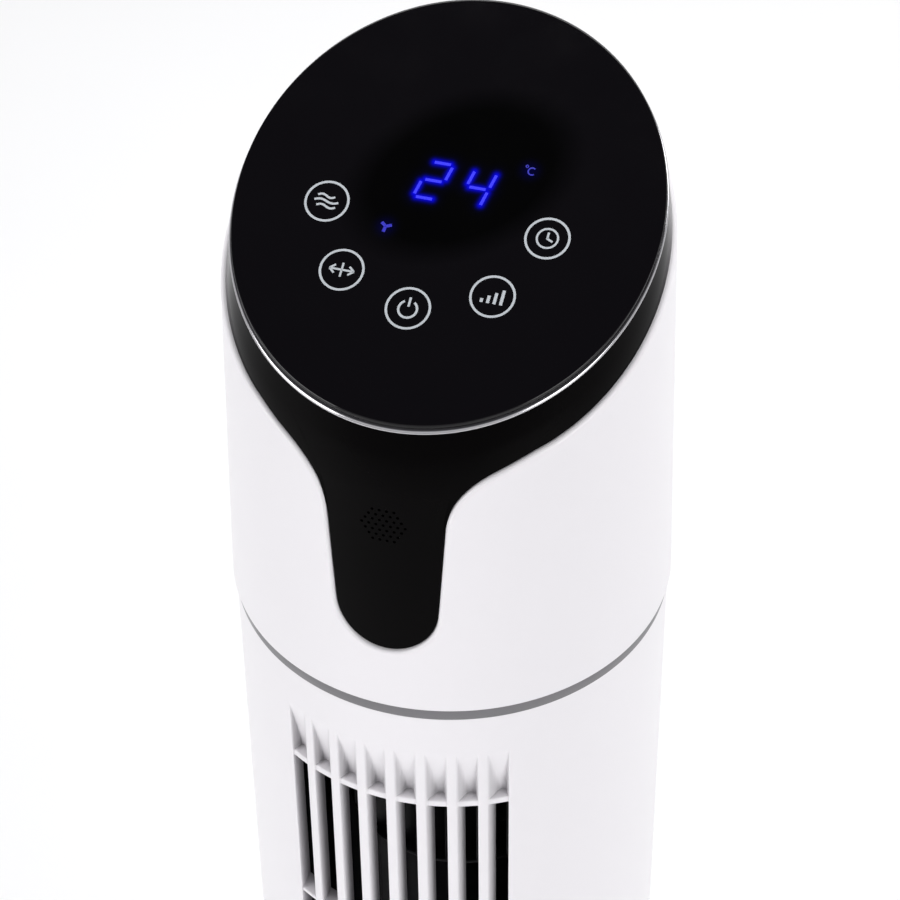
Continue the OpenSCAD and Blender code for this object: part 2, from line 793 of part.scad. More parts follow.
// ---- Head ----
// Right edge of the tongue seen from the front, grown by g: round end, flare, and a straight
// run that meets the sloping rim without a corner
flare_end = 117;
function tongue_side(g) =
  let (flare = arc([flare_x + flare_r, flare_z], flare_r - g, 180, flare_end, 10), last = flare[10])
  concat(arc([0, tongue_z], tongue_r + g, -90, -4, 10), flare,
    [last + flare_run * [sin(flare_end), -cos(flare_end)]]);

module tongue_prism(g) {
  right = tongue_side(g);
  corner = [right[len(right) - 1][0], rim_h - 20];
  translate([0, 0, head_z]) rotate([90, 0, 0]) linear_extrude(100) polygon(concat(right,
    [corner, [-corner[0], corner[1]]],
    reverse([for (p = right) [-p[0], p[1]]])));
}

handle_z = 96;
handle_w = 98;
handle_h = 34;
handle_deep = 28;

module handle_prism(grow) {
  translate([0, 40, head_z + handle_z]) rotate([-90, 0, 0]) rounded_plate(handle_w + 2 * grow,
    handle_h + 2 * grow, 8 + grow, 60);
}

module head_shell() {
  color("white") difference() {
    union() {
      head_skin(0, -head_wall);
      for (a = head_boss_angles) rotate(a) {
        translate([head_boss_r, 0, top_deck + deck_t + 0.1]) cylinder(r = 4.5, h = 50, $fn = 48);
        translate([head_boss_r, -1, head_z + lip_h + 2]) cube([10, 2, 22]);
      }
    }
    difference() {
      translate([0, 0, head_z - eps]) cylinder(r = head_r + 20, h = 300);
      under(rim_h, rim_tilt);
    }
    tongue_prism(gap);
    handle_prism(gap);
    for (a = head_boss_angles) rotate(a) translate([head_boss_r, 0, top_deck]) cylinder(r = 1.4, h = 24, $fn = 24);
  }
}

module head_screws() {
  color("silver") for (a = head_boss_angles) rotate(a) translate([head_boss_r, 0, top_deck])
    screw(16, 1.4, 3.2, 2);
}

rim_drop = 1.6;
seat_h = panel_h - panel_t - rim_drop;
holes_z = 85.6;
hole_pitch = 2.5;

// Rows of holes on a hexagon, four to a side
module speaker_holes() {
  for (row = [-3 : 3], i = [0 : 6 - abs(row)])
    translate([(i - (6 - abs(row)) / 2) * hole_pitch, 0, head_z + holes_z + row * hole_pitch * 0.866])
      rotate([90, 0, 0]) cylinder(r = 0.55, h = 100, $fn = 16);
}

module collar() {
  difference() {
    hull() {
      intersection() {
        head_cone(-insert_in);
        layer(rim_h + 0.1, rim_h + 0.4, rim_tilt);
      }
      intersection() {
        translate([0, 0, head_z]) cylinder(r = panel_r + 0.6, h = 200);
        layer(seat_h - 0.3, seat_h, panel_tilt);
      }
    }
    translate([0, 0, head_z - 10]) cylinder(r = 70, h = 260);
  }
}

module head_insert() {
  color("#101012") difference() {
    union() {
      collar();
      intersection() {
        head_skin(-head_wall - gap, -head_wall - 2.2);
        layer(rim_h - 8, rim_h + 0.3, rim_tilt);
      }
      intersection() {
        head_skin(-insert_in, -head_wall - 2.2);
        tongue_prism(0);
        under(rim_h + 0.3, rim_tilt);
      }
      intersection() {
        head_skin(-head_wall - gap, -head_wall - 2.2);
        tongue_prism(4);
        under(rim_h, rim_tilt);
      }
    }
    speaker_holes();
  }
}

module handle_cup() {
  color("whitesmoke") difference() {
    union() {
      intersection() {
        handle_prism(0);
        head_cone(-0.2);
        translate([-big / 2, head_r - 4 - handle_deep, 0]) cube([big, big, 2000]);
      }
      intersection() {
        handle_prism(4);
        head_skin(-head_wall - 0.1, -head_wall - 1.8);
      }
    }
    translate([0, head_r - 2 - handle_deep, head_z + handle_z]) rotate([-90, 0, 0])
      rounded_plate(handle_w - 4, handle_h - 4, 6, 60);
  }
}

// ---- Panel ----
tray_r = 69.6;
tray_deep = 13;

module panel_tray() {
  color("#303034") difference() {
    intersection() {
      cylinder(r = tray_r, h = 2000);
      layer(seat_h - tray_deep, seat_h - 0.1, panel_tilt);
    }
    difference() {
      intersection() {
        cylinder(r = tray_r - 2, h = 2000);
        layer(seat_h - tray_deep + 2, seat_h + 2, panel_tilt);
      }
      on_panel(board_drop + 6) for (p = board_holes) translate([p[0], p[1], 0])
        cylinder(r = 3.5, h = 5.9, $fn = 24);
    }
    on_panel(30) cylinder(r = 9, h = 30);
    on_panel(board_drop + 3) for (p = board_holes) translate([p[0], p[1], 0])
      cylinder(r = 1.35, h = 12, $fn = 24);
  }
}

module panel_rim() {
  color("gainsboro") intersection() {
    translate([0, 0, head_z]) tube(panel_r + 0.8, tray_r - 2, 250);
    layer(seat_h, seat_h + rim_drop, panel_tilt);
  }
}

module touch_panel() {
  color("black") intersection() {
    cylinder(r = panel_r, h = 2000);
    layer(panel_h - panel_t, panel_h, panel_tilt);
  }
}

// Key centres on the sloping face: across, and towards the back
keys = [[-40, -5.8], [-27.8, -29.6], [-2.2, -38.9], [23.4, -29.6], [35.8, -5.8]];
board_drop = 12;
board_holes = [[-46, 24], [46, 24], [-42, -38], [42, -38]];

module control_board() {
  color("darkgreen") on_panel(board_drop) difference() {
    cylinder(r = 60, h = 1.6);
    for (p = board_holes) translate([p[0], p[1], -eps]) cylinder(r = 1.6, h = 5, $fn = 24);
  }
}

module board_screws() {
  color("silver") on_panel(board_drop - 1.6) for (p = board_holes) translate([p[0], p[1], 0])
    mirror([0, 0, 1]) screw(4.2, 1.3, 2.8, 1.6);
}

module display_module() {
  color("#2b2b30") on_panel(board_drop - 1.6) translate([0, 7, 0])
    translate([-25, -16, 0]) cube([50, 32, board_drop - 1.6 - panel_t * cos(panel_tilt) - 0.2]);
}

function coil(r, turns, h, steps = 9) = [for (i = [0 : turns * steps])
  [r * cos(i * 360 / steps), r * sin(i * 360 / steps), h * i / (turns * steps)]];

module touch_springs() {
  h = board_drop - 1.6 - panel_t * cos(panel_tilt) - 0.1;
  color("gainsboro") on_panel(board_drop - 1.6) for (k = keys) translate([k[0], k[1], 0.45])
    wire(coil(3.2, 4, h - 0.9), 0.4, 5);
}

board_y = -64;

module sensor_board() {
  color("darkgreen") translate([-15, board_y, head_z + 38]) cube([30, 1.6, 58]);
}

module infrared_receiver() {
  color("#151517") translate([0, board_y, head_z + 52]) union() {
    translate([-3, -4, -4]) cube([6, 4, 8]);
    translate([0, -4, 0]) sphere(r = 2.6, $fn = 48);
  }
}

module buzzer() {
  color("black") translate([0, board_y, head_z + holes_z]) rotate([90, 0, 0]) difference() {
    cylinder(r = 6, h = 6);
    translate([0, 0, 5]) cylinder(r = 1.2, h = 2, $fn = 24);
  }
}

module temperature_sensor() {
  color("black") translate([0, board_y, head_z + 72]) rotate([90, 0, 0]) union() {
    cylinder(r = 0.5, h = 4, $fn = 16);
    translate([0, 0, 4.5]) sphere(r = 1.6, $fn = 48);
  }
}

base_front_half();
base_rear_half();
base_floor();
rubber_feet();
base_screws();
cord_gland();
supply_lead();
slide_ring();
oscillation_motor();
oscillation_motor_screws();
oscillation_pinion();
turntable();
ring_gear();
gear_screws();
retaining_ring();
retaining_screws();
lower_trim_ring();
front_housing();
rear_housing();
housing_screws();
lower_bulkhead();
upper_bulkhead();
air_guide();
cutoff_bar();
motor_dampers();
motor_upper_bell();
motor_lower_bell();
stator_core();
stator_coils();
motor_screws();
run_capacitor();
motor_rotor();
motor_shaft();
impeller();
impeller_hub();
hub_set_screw();
top_shaft();
bearing_holder();
bearing_bush();
power_board();
power_parts();
wiring_harness();
trim_ring();
head_shell();
head_screws();
head_insert();
handle_cup();
panel_tray();
panel_rim();
touch_panel();
control_board();
board_screws();
display_module();
touch_springs();
sensor_board();
infrared_receiver();
buzzer();
temperature_sensor();
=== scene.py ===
import json
import math

import bmesh
import bpy
import numpy as np
from mathutils import Matrix, Vector


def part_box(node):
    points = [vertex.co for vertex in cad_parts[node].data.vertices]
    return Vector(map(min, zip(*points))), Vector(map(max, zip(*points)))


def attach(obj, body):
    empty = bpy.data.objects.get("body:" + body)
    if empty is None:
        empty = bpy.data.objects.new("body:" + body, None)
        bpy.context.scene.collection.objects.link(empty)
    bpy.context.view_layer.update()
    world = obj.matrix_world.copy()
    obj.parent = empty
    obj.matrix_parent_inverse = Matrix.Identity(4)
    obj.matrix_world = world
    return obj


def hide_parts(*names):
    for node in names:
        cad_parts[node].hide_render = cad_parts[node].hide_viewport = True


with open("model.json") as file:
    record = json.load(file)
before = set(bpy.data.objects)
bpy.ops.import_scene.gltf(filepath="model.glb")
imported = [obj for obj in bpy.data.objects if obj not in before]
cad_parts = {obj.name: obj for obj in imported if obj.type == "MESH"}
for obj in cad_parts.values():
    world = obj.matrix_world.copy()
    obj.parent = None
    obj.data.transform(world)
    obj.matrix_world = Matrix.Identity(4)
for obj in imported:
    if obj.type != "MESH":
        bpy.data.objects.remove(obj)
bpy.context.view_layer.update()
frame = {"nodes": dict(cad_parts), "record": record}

# Shapes are worked out in millimetres, in the frame's own axes: +Z up, the front faces -Y.
MM = 0.001


def span(node):
    """The lowest and highest corner of a CAD node, in millimetres."""
    low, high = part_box(node)
    return Vector(low) / MM, Vector(high) / MM


def reach(node, low=-1e9, high=1e9):
    """How far a CAD node comes from the column's axis, between two levels, in millimetres."""
    points = [v.co / MM for v in frame["nodes"][node].data.vertices]
    return max(math.hypot(p.x, p.y) for p in points if low <= p.z <= high)


# ---- Sizes read from the frame ----
LIP_H, RING_LIP = 10, 4
HEAD_Z = span("trim_ring")[1].z - LIP_H
COLUMN_R = reach("front_housing")
COLUMN_BOTTOM = span("front_housing")[0].z
COLUMN_TOP = span("front_housing")[1].z
HEAD_R = reach("head_shell", HEAD_Z - 0.1, HEAD_Z + 0.1)
PANEL_R = reach("touch_panel")
BASE_R = reach("base_front_half")
BASE_BOTTOM = span("base_front_half")[0].z
BASE_TOP = span("base_front_half")[1].z

# ---- Sizes of the mouldings ----
WALL, HEAD_WALL = 2.4, 2.6
TAPER = 0.0266
RIM_H, RIM_TILT = 142.8, math.radians(26.4)
PANEL_TILT = math.radians(25)
PANEL_T, RIM_DROP = 1.7, 1.6
PANEL_H = span("touch_panel")[1].z - HEAD_Z - PANEL_R * math.tan(PANEL_TILT)
SEAT_H = PANEL_H - PANEL_T - RIM_DROP
INSERT_IN = 1.2
SEAM_Y = 30

# ---- Camera: looks down at the head from the front right ----
AIM = Vector((-0.0003, 0, 0.8755))
AZIMUTH, ELEVATION, ROLL = 17.18, 42.43, -0.78
DISTANCE = 1.063
LENS = 120


def make_camera():
    a, e = math.radians(AZIMUTH), math.radians(ELEVATION)
    back = Vector((math.sin(a) * math.cos(e), -math.cos(a) * math.cos(e), math.sin(e)))
    data = bpy.data.cameras.new("camera")
    data.lens = LENS
    data.sensor_width = 36
    camera = bpy.data.objects.new("camera", data)
    bpy.context.scene.collection.objects.link(camera)
    camera.location = AIM + back * DISTANCE
    turn = (-back).to_track_quat("-Z", "Y").to_matrix() @ Matrix.Rotation(math.radians(ROLL), 3, "Z")
    camera.rotation_euler = turn.to_euler()
    bpy.context.scene.camera = camera


make_camera()

# ---- Materials ----
materials = {}
MIX_FACTOR, MIX_A, MIX_B, MIX_OUT = 0, 6, 7, 2


class Nodes:
    """Short names for the shader nodes that the materials share."""

    def __init__(self, material):
        material.use_nodes = True
        self.tree = material.node_tree
        self.shader = self.tree.nodes["Principled BSDF"]

    def new(self, kind, **settings):
        node = self.tree.nodes.new(kind)
        for name, value in settings.items():
            setattr(node, name, value)
        return node

    def link(self, source, target):
        self.tree.links.new(source, target)

    def place(self, scale=(1, 1, 1)):
        """Object coordinates, in metres, stretched along each axis."""
        mapping = self.new("ShaderNodeMapping")
        mapping.inputs["Scale"].default_value = scale
        self.link(self.new("ShaderNodeTexCoord").outputs["Object"], mapping.inputs["Vector"])
        return mapping.outputs["Vector"]

    def noise(self, size, detail=3.0, stretch=(1, 1, 1)):
        """Noise with features of about size millimetres."""
        node = self.new("ShaderNodeTexNoise")
        node.inputs["Scale"].default_value = 1 / (size * MM)
        node.inputs["Detail"].default_value = detail
        self.link(self.place(stretch), node.inputs["Vector"])
        return node.outputs["Fac"]

    def remap(self, value, low, high, start=0.3, stop=0.7):
        node = self.new("ShaderNodeMapRange")
        for name, number in zip(("From Min", "From Max", "To Min", "To Max"), (start, stop, low, high)):
            node.inputs[name].default_value = number
        self.link(value, node.inputs["Value"])
        return node.outputs["Result"]

    def blend(self, factor, first, second):
        node = self.new("ShaderNodeMix", data_type="RGBA")
        node.inputs[MIX_A].default_value = (*first, 1)
        node.inputs[MIX_B].default_value = (*second, 1)
        self.link(factor, node.inputs[MIX_FACTOR])
        return node.outputs[MIX_OUT]

    def bump(self, height, distance, under=None):
        node = self.new("ShaderNodeBump")
        node.inputs["Distance"].default_value = distance * MM
        self.link(height, node.inputs["Height"])
        if under:
            self.link(under, node.inputs["Normal"])
        return node.outputs["Normal"]

    def set(self, **values):
        for name, value in values.items():
            self.shader.inputs[name.replace("_", " ")].default_value = value


def surface(slot, color, rough, grain, height, tint=0.94, patch=40, stretch=(1, 1, 1), **values):
    """A finish with a fine grain, a slow drift of colour and a slightly uneven polish."""
    material = bpy.data.materials.new(slot)
    n = Nodes(material)
    drift = n.remap(n.noise(patch, 4.0, stretch), 0, 1)
    n.link(n.blend(drift, [c * tint for c in color], color), n.shader.inputs["Base Color"])
    n.link(n.remap(n.noise(patch / 3, 6.0), rough[0], rough[1]), n.shader.inputs["Roughness"])
    n.link(n.bump(n.noise(grain, 3.0, stretch), height), n.shader.inputs["Normal"])
    n.set(**values)
    materials[slot] = material
    return n


def make_materials():
    make_white_materials()
    surface("trim_grey", (0.165, 0.16, 0.17), (0.34, 0.46), 0.3, 0.01, 0.93)
    # Piano black, a little uneven where a hand has been
    n = surface("black_gloss", (0.0016, 0.0013, 0.0014), (0.05, 0.1), 0.5, 0.0, 0.8, 60, IOR=1.45)
    n.link(n.bump(n.noise(30, 0.0), 0.02), n.shader.inputs["Normal"])
    n.set(Specular_IOR_Level=0.04)
    make_panel_material()
    make_glow_material()
    surface("key_print", (0.44, 0.47, 0.5), (0.35, 0.5), 0.15, 0.004, 0.95, 3)
    surface("black_matte", (0.006, 0.006, 0.0065), (0.45, 0.62), 0.5, 0.02, 0.8, Specular_IOR_Level=0.2)
    surface("impeller_black", (0.007, 0.007, 0.008), (0.32, 0.46), 0.6, 0.01, 0.8, 25,
            Specular_IOR_Level=0.25)
    surface("rubber", (0.028, 0.028, 0.029), (0.72, 0.88), 0.4, 0.03, 0.8, 12)
    surface("cable", (0.02, 0.02, 0.021), (0.5, 0.62), 0.6, 0.015, 0.85, 15)
    surface("nylon", (0.78, 0.75, 0.64), (0.38, 0.5), 0.4, 0.01, 0.93, 15, Subsurface_Weight=0.1)
    surface("nylon_grey", (0.43, 0.43, 0.44), (0.45, 0.6), 0.25, 0.015, 0.9, 20)
    surface("board_parts", (0.5, 0.38, 0.08), (0.4, 0.55), 0.5, 0.01, 0.8, 8)
    surface("capacitor_case", (0.018, 0.018, 0.019), (0.2, 0.34), 0.6, 0.006, 0.85, 10)
    surface("display_housing", (0.028, 0.028, 0.033), (0.4, 0.55), 0.4, 0.015, 0.85, 8)
    surface("dark_lens", (0.01, 0.006, 0.012), (0.05, 0.12), 1.0, 0.001, 0.9, 5)
    make_metals()
    make_layered_materials()


WHITE, DEEP_SHADE = (0.83, 0.81, 0.835), (0.09, 0.088, 0.092)


def make_white_materials():
    """Glossy moulded white: the faint waviness of a polished tool under a fine grain. Its colour is even,
    but for the shade painted on the slots' walls."""
    for slot in ("white_shell", "white_base"):
        n = surface(slot, WHITE, (0.3, 0.34), 0.35, 0.002, 0.995, 200, IOR=1.46)
        n.link(n.bump(n.noise(0.35), 0.002, n.bump(n.noise(30, 0.0), 0.02)), n.shader.inputs["Normal"])
        n.set(Coat_Weight=0.15, Coat_Roughness=0.2)
        shade = n.new("ShaderNodeAttribute", attribute_name="slot_shade")
        n.link(n.blend(shade.outputs["Fac"], WHITE, DEEP_SHADE), n.shader.inputs["Base Color"])


def make_metals():
    surface("bright_trim", (0.62, 0.61, 0.63), (0.1, 0.2), 0.4, 0.002, 0.97, 20, Metallic=1.0)
    surface("steel", (0.6, 0.6, 0.61), (0.24, 0.38), 0.3, 0.006, 0.85, 4, Metallic=1.0)
    surface("zinc_steel", (0.58, 0.59, 0.6), (0.3, 0.46), 1.2, 0.006, 0.82, 6, Metallic=1.0)
    surface("shaft_steel", (0.68, 0.68, 0.69), (0.14, 0.24), 0.4, 0.003, 0.95, 8, (1, 1, 12), Metallic=1.0)
    surface("spring_steel", (0.7, 0.7, 0.7), (0.2, 0.3), 0.3, 0.003, 0.95, 5, Metallic=1.0)
    surface("cast_aluminium", (0.64, 0.65, 0.66), (0.42, 0.6), 0.7, 0.05, 0.88, 10, Metallic=1.0)
    surface("bronze", (0.48, 0.3, 0.14), (0.4, 0.55), 0.35, 0.02, 0.85, 4, Metallic=1.0)


def make_layered_materials():
    """Laminated core steel, wound copper, and a board with copper tracks under its green mask."""
    for slot, color, scale, distortion, height in (
            ("core_steel", (0.3, 0.3, 0.32), 320, 0.0, 0.08),
            ("copper_wire", (0.56, 0.25, 0.11), 420, 1.5, 0.15)):
        n = surface(slot, color, (0.3, 0.45), 0.5, 0.01, 0.85, 5, Metallic=1.0)
        bands = n.new("ShaderNodeTexWave", bands_direction="Z")
        bands.inputs["Scale"].default_value = scale
        bands.inputs["Distortion"].default_value = distortion
        n.link(n.place(), bands.inputs["Vector"])
        n.link(n.bump(bands.outputs["Fac"], height), n.shader.inputs["Normal"])
    n = surface("circuit_board", (0.02, 0.12, 0.05), (0.25, 0.36), 0.4, 0.004, 0.8, 20)
    tracks = n.new("ShaderNodeTexBrick")
    tracks.inputs["Scale"].default_value = 90
    tracks.inputs["Mortar Size"].default_value = 0.035
    n.link(n.place(), tracks.inputs["Vector"])
    color = n.blend(tracks.outputs["Fac"], (0.018, 0.105, 0.045), (0.05, 0.2, 0.08))
    n.link(color, n.shader.inputs["Base Color"])
    n.link(n.bump(tracks.outputs["Fac"], 0.03), n.shader.inputs["Normal"])


def make_panel_material():
    """Tinted panel: black print behind the surface, a clear window over the display, and its glow."""
    n = surface("black_panel", (0.004, 0.004, 0.005), (0.05, 0.09), 0.5, 0.0, 0.85, 50, IOR=1.42)
    n.link(n.bump(n.noise(40, 1.0), 0.01), n.shader.inputs["Normal"])
    window = n.new("ShaderNodeAttribute", attribute_name="window")
    clear = n.blend(window.outputs["Fac"], (0.0027, 0.0023, 0.0032), (0.0, 0.0, 0.0))
    n.link(clear, n.shader.inputs["Base Color"])
    glow = n.new("ShaderNodeAttribute", attribute_name="glow")
    n.link(glow.outputs["Fac"], n.shader.inputs["Emission Strength"])
    n.set(Emission_Color=(0.003, 0.003, 1.0, 1))


def make_glow_material():
    """Lit segments, as bright as the mesh says."""
    n = surface("display_glow", (0.002, 0.002, 0.02), (0.4, 0.5), 0.5, 0.001, 0.9, 5)
    core = n.new("ShaderNodeAttribute", attribute_name="core")
    lit = n.blend(core.outputs["Fac"], (0.002, 0.002, 0.2), (0.01, 0.01, 1.0))
    n.link(lit, n.shader.inputs["Emission Color"])
    n.set(Emission_Strength=1.0)


# ---- Building meshes ----
class Shape:
    """Points, in millimetres, and faces, collected stretch by stretch."""

    def __init__(self):
        self.points = []
        self.faces = []

    def add(self, points, faces):
        start = len(self.points)
        self.points += [tuple(p) for p in points]
        self.faces += [tuple(start + i for i in f) for f in faces]

    def grid(self, rows, wrap_rows=False, wrap_points=False, skip=None):
        """Quads between neighbouring rows of points; skip(row, point) leaves one out."""
        count, wide = len(rows), len(rows[0])
        faces = []
        for i in range(count if wrap_rows else count - 1):
            for k in range(wide if wrap_points else wide - 1):
                if skip and skip(i, k):
                    continue
                j, m = (i + 1) % count, (k + 1) % wide
                faces.append((i * wide + k, j * wide + k, j * wide + m, i * wide + m))
        self.add([p for row in rows for p in row], faces)

    def mesh(self, name):
        """The joined mesh, without faces of no area or loose edges, and with its normals outwards."""
        mesh = bpy.data.meshes.new(name)
        mesh.from_pydata([Vector(p) * MM for p in self.points], [], self.faces)
        bm = bmesh.new()
        bm.from_mesh(mesh)
        bmesh.ops.remove_doubles(bm, verts=bm.verts, dist=0.0005 * MM)
        bmesh.ops.dissolve_degenerate(bm, edges=bm.edges, dist=0.0005 * MM)
        bmesh.ops.delete(bm, geom=[e for e in bm.edges if not e.link_faces], context="EDGES")
        bmesh.ops.delete(bm, geom=[v for v in bm.verts if not v.link_faces], context="VERTS")
        bmesh.ops.recalc_face_normals(bm, faces=bm.faces)
        for face in bm.faces:
            face.smooth = True
        bm.to_mesh(mesh)
        bm.free()
        return mesh


def piece(name, shape, slot, body="column", replaces=(), sharp=40):
    """Turns a shape into a Blender object that rides on a CAD body."""
    mesh = shape.mesh(name)
    mesh.set_sharp_from_angle(angle=math.radians(sharp))
    mesh.materials.append(materials[slot])
    obj = bpy.data.objects.new(name, mesh)
    bpy.context.scene.collection.objects.link(obj)
    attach(obj, body)
    if replaces:
        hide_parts(*replaces)
    return obj


def carve(obj, cutter_shape, normal_at=None, sharp=40):
    """Cuts a closed shape out of an object, and keeps the smooth surface's own normals."""
    cutter = bpy.data.objects.new("cutter", cutter_shape.mesh("cutter"))
    bpy.context.scene.collection.objects.link(cutter)
    cut = obj.modifiers.new("cut", "BOOLEAN")
    cut.operation = "DIFFERENCE"
    cut.solver = "EXACT"
    cut.object = cutter
    graph = bpy.context.evaluated_depsgraph_get()
    result = bpy.data.meshes.new_from_object(obj.evaluated_get(graph))
    obj.modifiers.remove(cut)
    bpy.data.objects.remove(cutter)
    obj.data = result
    result.set_sharp_from_angle(angle=math.radians(sharp))
    if normal_at:
        keep_normals(result, normal_at)


def keep_normals(mesh, normal_at):
    """Gives the corners that lie on a known smooth surface that surface's normal."""
    known = [normal_at(v.co / MM) for v in mesh.vertices]
    normals = []
    for face in mesh.polygons:
        for i in face.vertices:
            true = known[i]
            normals.append(true if true and face.normal.dot(true) > 0.94 else Vector((0, 0, 0)))
    mesh.normals_split_custom_set(normals)


def arc(center, radius, start, stop, steps):
    """Points along an arc, in degrees."""
    angles = [math.radians(start + (stop - start) * i / steps) for i in range(steps + 1)]
    return [(center[0] + radius * math.cos(a), center[1] + radius * math.sin(a)) for a in angles]


def rounded(corners, steps=5):
    """A closed outline with round corners; each corner is (x, y, radius)."""
    outline = []
    for i, (x, y, radius) in enumerate(corners):
        here = Vector((x, y))
        before = Vector(corners[i - 1][:2]) - here
        after = Vector(corners[(i + 1) % len(corners)][:2]) - here
        half = before.angle(after) / 2
        radius = min(radius, 0.49 * min(before.length, after.length) * math.tan(half))
        if radius <= 0:
            outline.append((x, y))
            continue
        center = here + (before.normalized() + after.normalized()).normalized() * radius / math.sin(half)
        first = here + before.normalized() * radius / math.tan(half) - center
        last = here + after.normalized() * radius / math.tan(half) - center
        start = math.atan2(first.y, first.x)
        sweep = (math.atan2(last.y, last.x) - start + math.pi) % (2 * math.pi) - math.pi
        for k in range(steps + 1):
            a = start + sweep * k / steps
            outline.append((center.x + radius * math.cos(a), center.y + radius * math.sin(a)))
    return outline


def lathe(shape, outline, steps=180, start=0.0, stop=360.0, move=None):
    """Turns a closed outline of (radius, height) points about the Z axis."""
    full = stop - start > 359.9
    rows = []
    for i in range(steps if full else steps + 1):
        a = math.radians(start + (stop - start) * i / steps)
        row = [(r * math.cos(a), r * math.sin(a), z) for r, z in outline]
        rows.append([move(p) for p in row] if move else row)
    shape.grid(rows, wrap_rows=full, wrap_points=True)
    if not full:
        shape.add(rows[0], [tuple(range(len(outline)))])
        shape.add(rows[-1], [tuple(reversed(range(len(outline))))])


def prism(shape, outline, low, high, place):
    """A closed outline drawn out from low to high; place(x, y, w) puts each point in space."""
    rows = [[place(x, y, w) for x, y in outline] for w in (low, high)]
    shape.grid(rows, wrap_points=True)
    shape.add(rows[0], [tuple(reversed(range(len(outline))))])
    shape.add(rows[1], [tuple(range(len(outline)))])


# ---- The head's edge between shell and black insert ----
TONGUE_R, TONGUE_Z = 18.4, 44.7
FLARE_X, FLARE_Z, FLARE_R, FLARE_END, FLARE_RUN = 20.8, 82.1, 28, 117, 18
EDGE_STEP = 1.1
MID_R = 78.0


def head_radius(z):
    return HEAD_R - TAPER * z


def head_point(u, z, depth):
    """A point depth behind the head's face: u is the angle from the front, z the height in the head."""
    r = head_radius(z) - depth
    return (r * math.sin(u), -r * math.cos(u), HEAD_Z + z)


def rim_level(u):
    """Where the sloping rim plane meets the head's face."""
    z = RIM_H
    for _ in range(4):
        z = RIM_H - math.tan(RIM_TILT) * head_radius(z) * math.cos(u)
    return z


def edge_line():
    """The edge from the back round the left, down the tongue and up again, evenly spaced: pairs of
    distance round the head and height, and for each the direction into the shell."""
    flare = arc((FLARE_X + FLARE_R, FLARE_Z), FLARE_R, 180, FLARE_END, 24)
    slope = math.radians(FLARE_END - 90)
    x, z = flare[-1]
    run = [(x + FLARE_RUN * t * math.cos(slope), z + FLARE_RUN * t * math.sin(slope))
           for t in (0.3, 0.6, 0.8)]
    front = arc((0, TONGUE_Z), TONGUE_R, -90, -4, 24) + flare + run
    half = [(math.asin(x / head_radius(z)) * MID_R, z) for x, z in front]
    start, steps = half[-1][0] / MID_R, 120
    for i in range(1, steps + 1):
        u = start + (math.pi - start) * i / steps
        half.append((u * MID_R, max(rim_level(u), half[-1][1])))
    line = np.array([(-x, z) for x, z in reversed(half[1:])] + half)
    length = np.concatenate([[0], np.cumsum(np.hypot(*np.diff(line, axis=0).T))])
    even = np.linspace(0, length[-1], int(length[-1] / EDGE_STEP) + 1)
    line = np.stack([np.interp(even, length, line[:, k]) for k in (0, 1)], 1)
    for _ in range(7):
        line[1:-1] = (line[:-2] + 2 * line[1:-1] + line[2:]) / 4
    run = np.gradient(line, axis=0)
    run[0] = run[-1] = (1, 0)
    run /= np.hypot(run[:, 0], run[:, 1])[:, None]
    return line[:-1], np.stack([run[:-1, 1], -run[:-1, 0]], 1)


EDGE, EDGE_OUT = edge_line()


def edge_offset(distance):
    """The edge moved into the shell: pairs of angle and height."""
    return [(x / MID_R, z) for x, z in EDGE + EDGE_OUT * distance]


def cone_normal(point):
    """The outward normal of the head's tapering face, for points that lie on it."""
    r = math.hypot(point.x, point.y)
    if abs(r - head_radius(point.z - HEAD_Z)) > 0.02:
        return None
    return Vector((point.x / r, point.y / r, TAPER)).normalized()


def columns(rows):
    """Swaps rows along the edge for columns across it."""
    return [list(column) for column in zip(*rows)]


def make_head_shell():
    """White shell: a rounded lip round the insert's opening, and a foot on the trim band."""
    gap, lip, foot, down = 0.12, 1.25, 0.5, 34
    rows = [[head_point(u, z, HEAD_WALL) for u, z in edge_offset(gap)]]
    for x, h in arc((gap + lip, 0), lip, 180, 90, 7):
        rows.append([head_point(u, z, lip - h) for u, z in edge_offset(x)])
    rim = edge_offset(gap + lip)
    for i in range(1, down + 1):
        rows.append([head_point(u, z + (foot - z) * i / down, 0) for u, z in rim])
    for x, h in arc((foot, foot), foot, 180, 270, 4)[1:]:
        rows.append([head_point(u, h, x) for u, z in rim])
    for i in range(10):
        rows.append([head_point(u, (z - lip) * i / 10, HEAD_WALL) for u, z in rim])
    shape = Shape()
    shape.grid(columns(rows), wrap_rows=True, wrap_points=True)
    obj = piece("head_shell_moulding", shape, "white_shell", replaces=["head_shell"])
    cutter = Shape()
    prism(cutter, handle_outline(0.3), 45, 100, lambda x, z, w: (-x, w, z))
    carve(obj, cutter, cone_normal)


# ---- Carrying handle ----
HANDLE_FLANGE = 4
handle_low, handle_high = span("handle_cup")
HANDLE_Z = (handle_low.z + handle_high.z) / 2
HANDLE_W = handle_high.x - HANDLE_FLANGE
HANDLE_H = (handle_high.z - handle_low.z) / 2 - HANDLE_FLANGE
HANDLE_FLOOR = handle_low.y
HANDLE_R = 8


def handle_outline(grow):
    w, h, r = HANDLE_W + grow, HANDLE_H + grow, HANDLE_R + grow
    corners = ((1, 1), (-1, 1), (-1, -1), (1, -1))
    return rounded([(x * w, HANDLE_Z + z * h, r) for x, z in corners], 8)


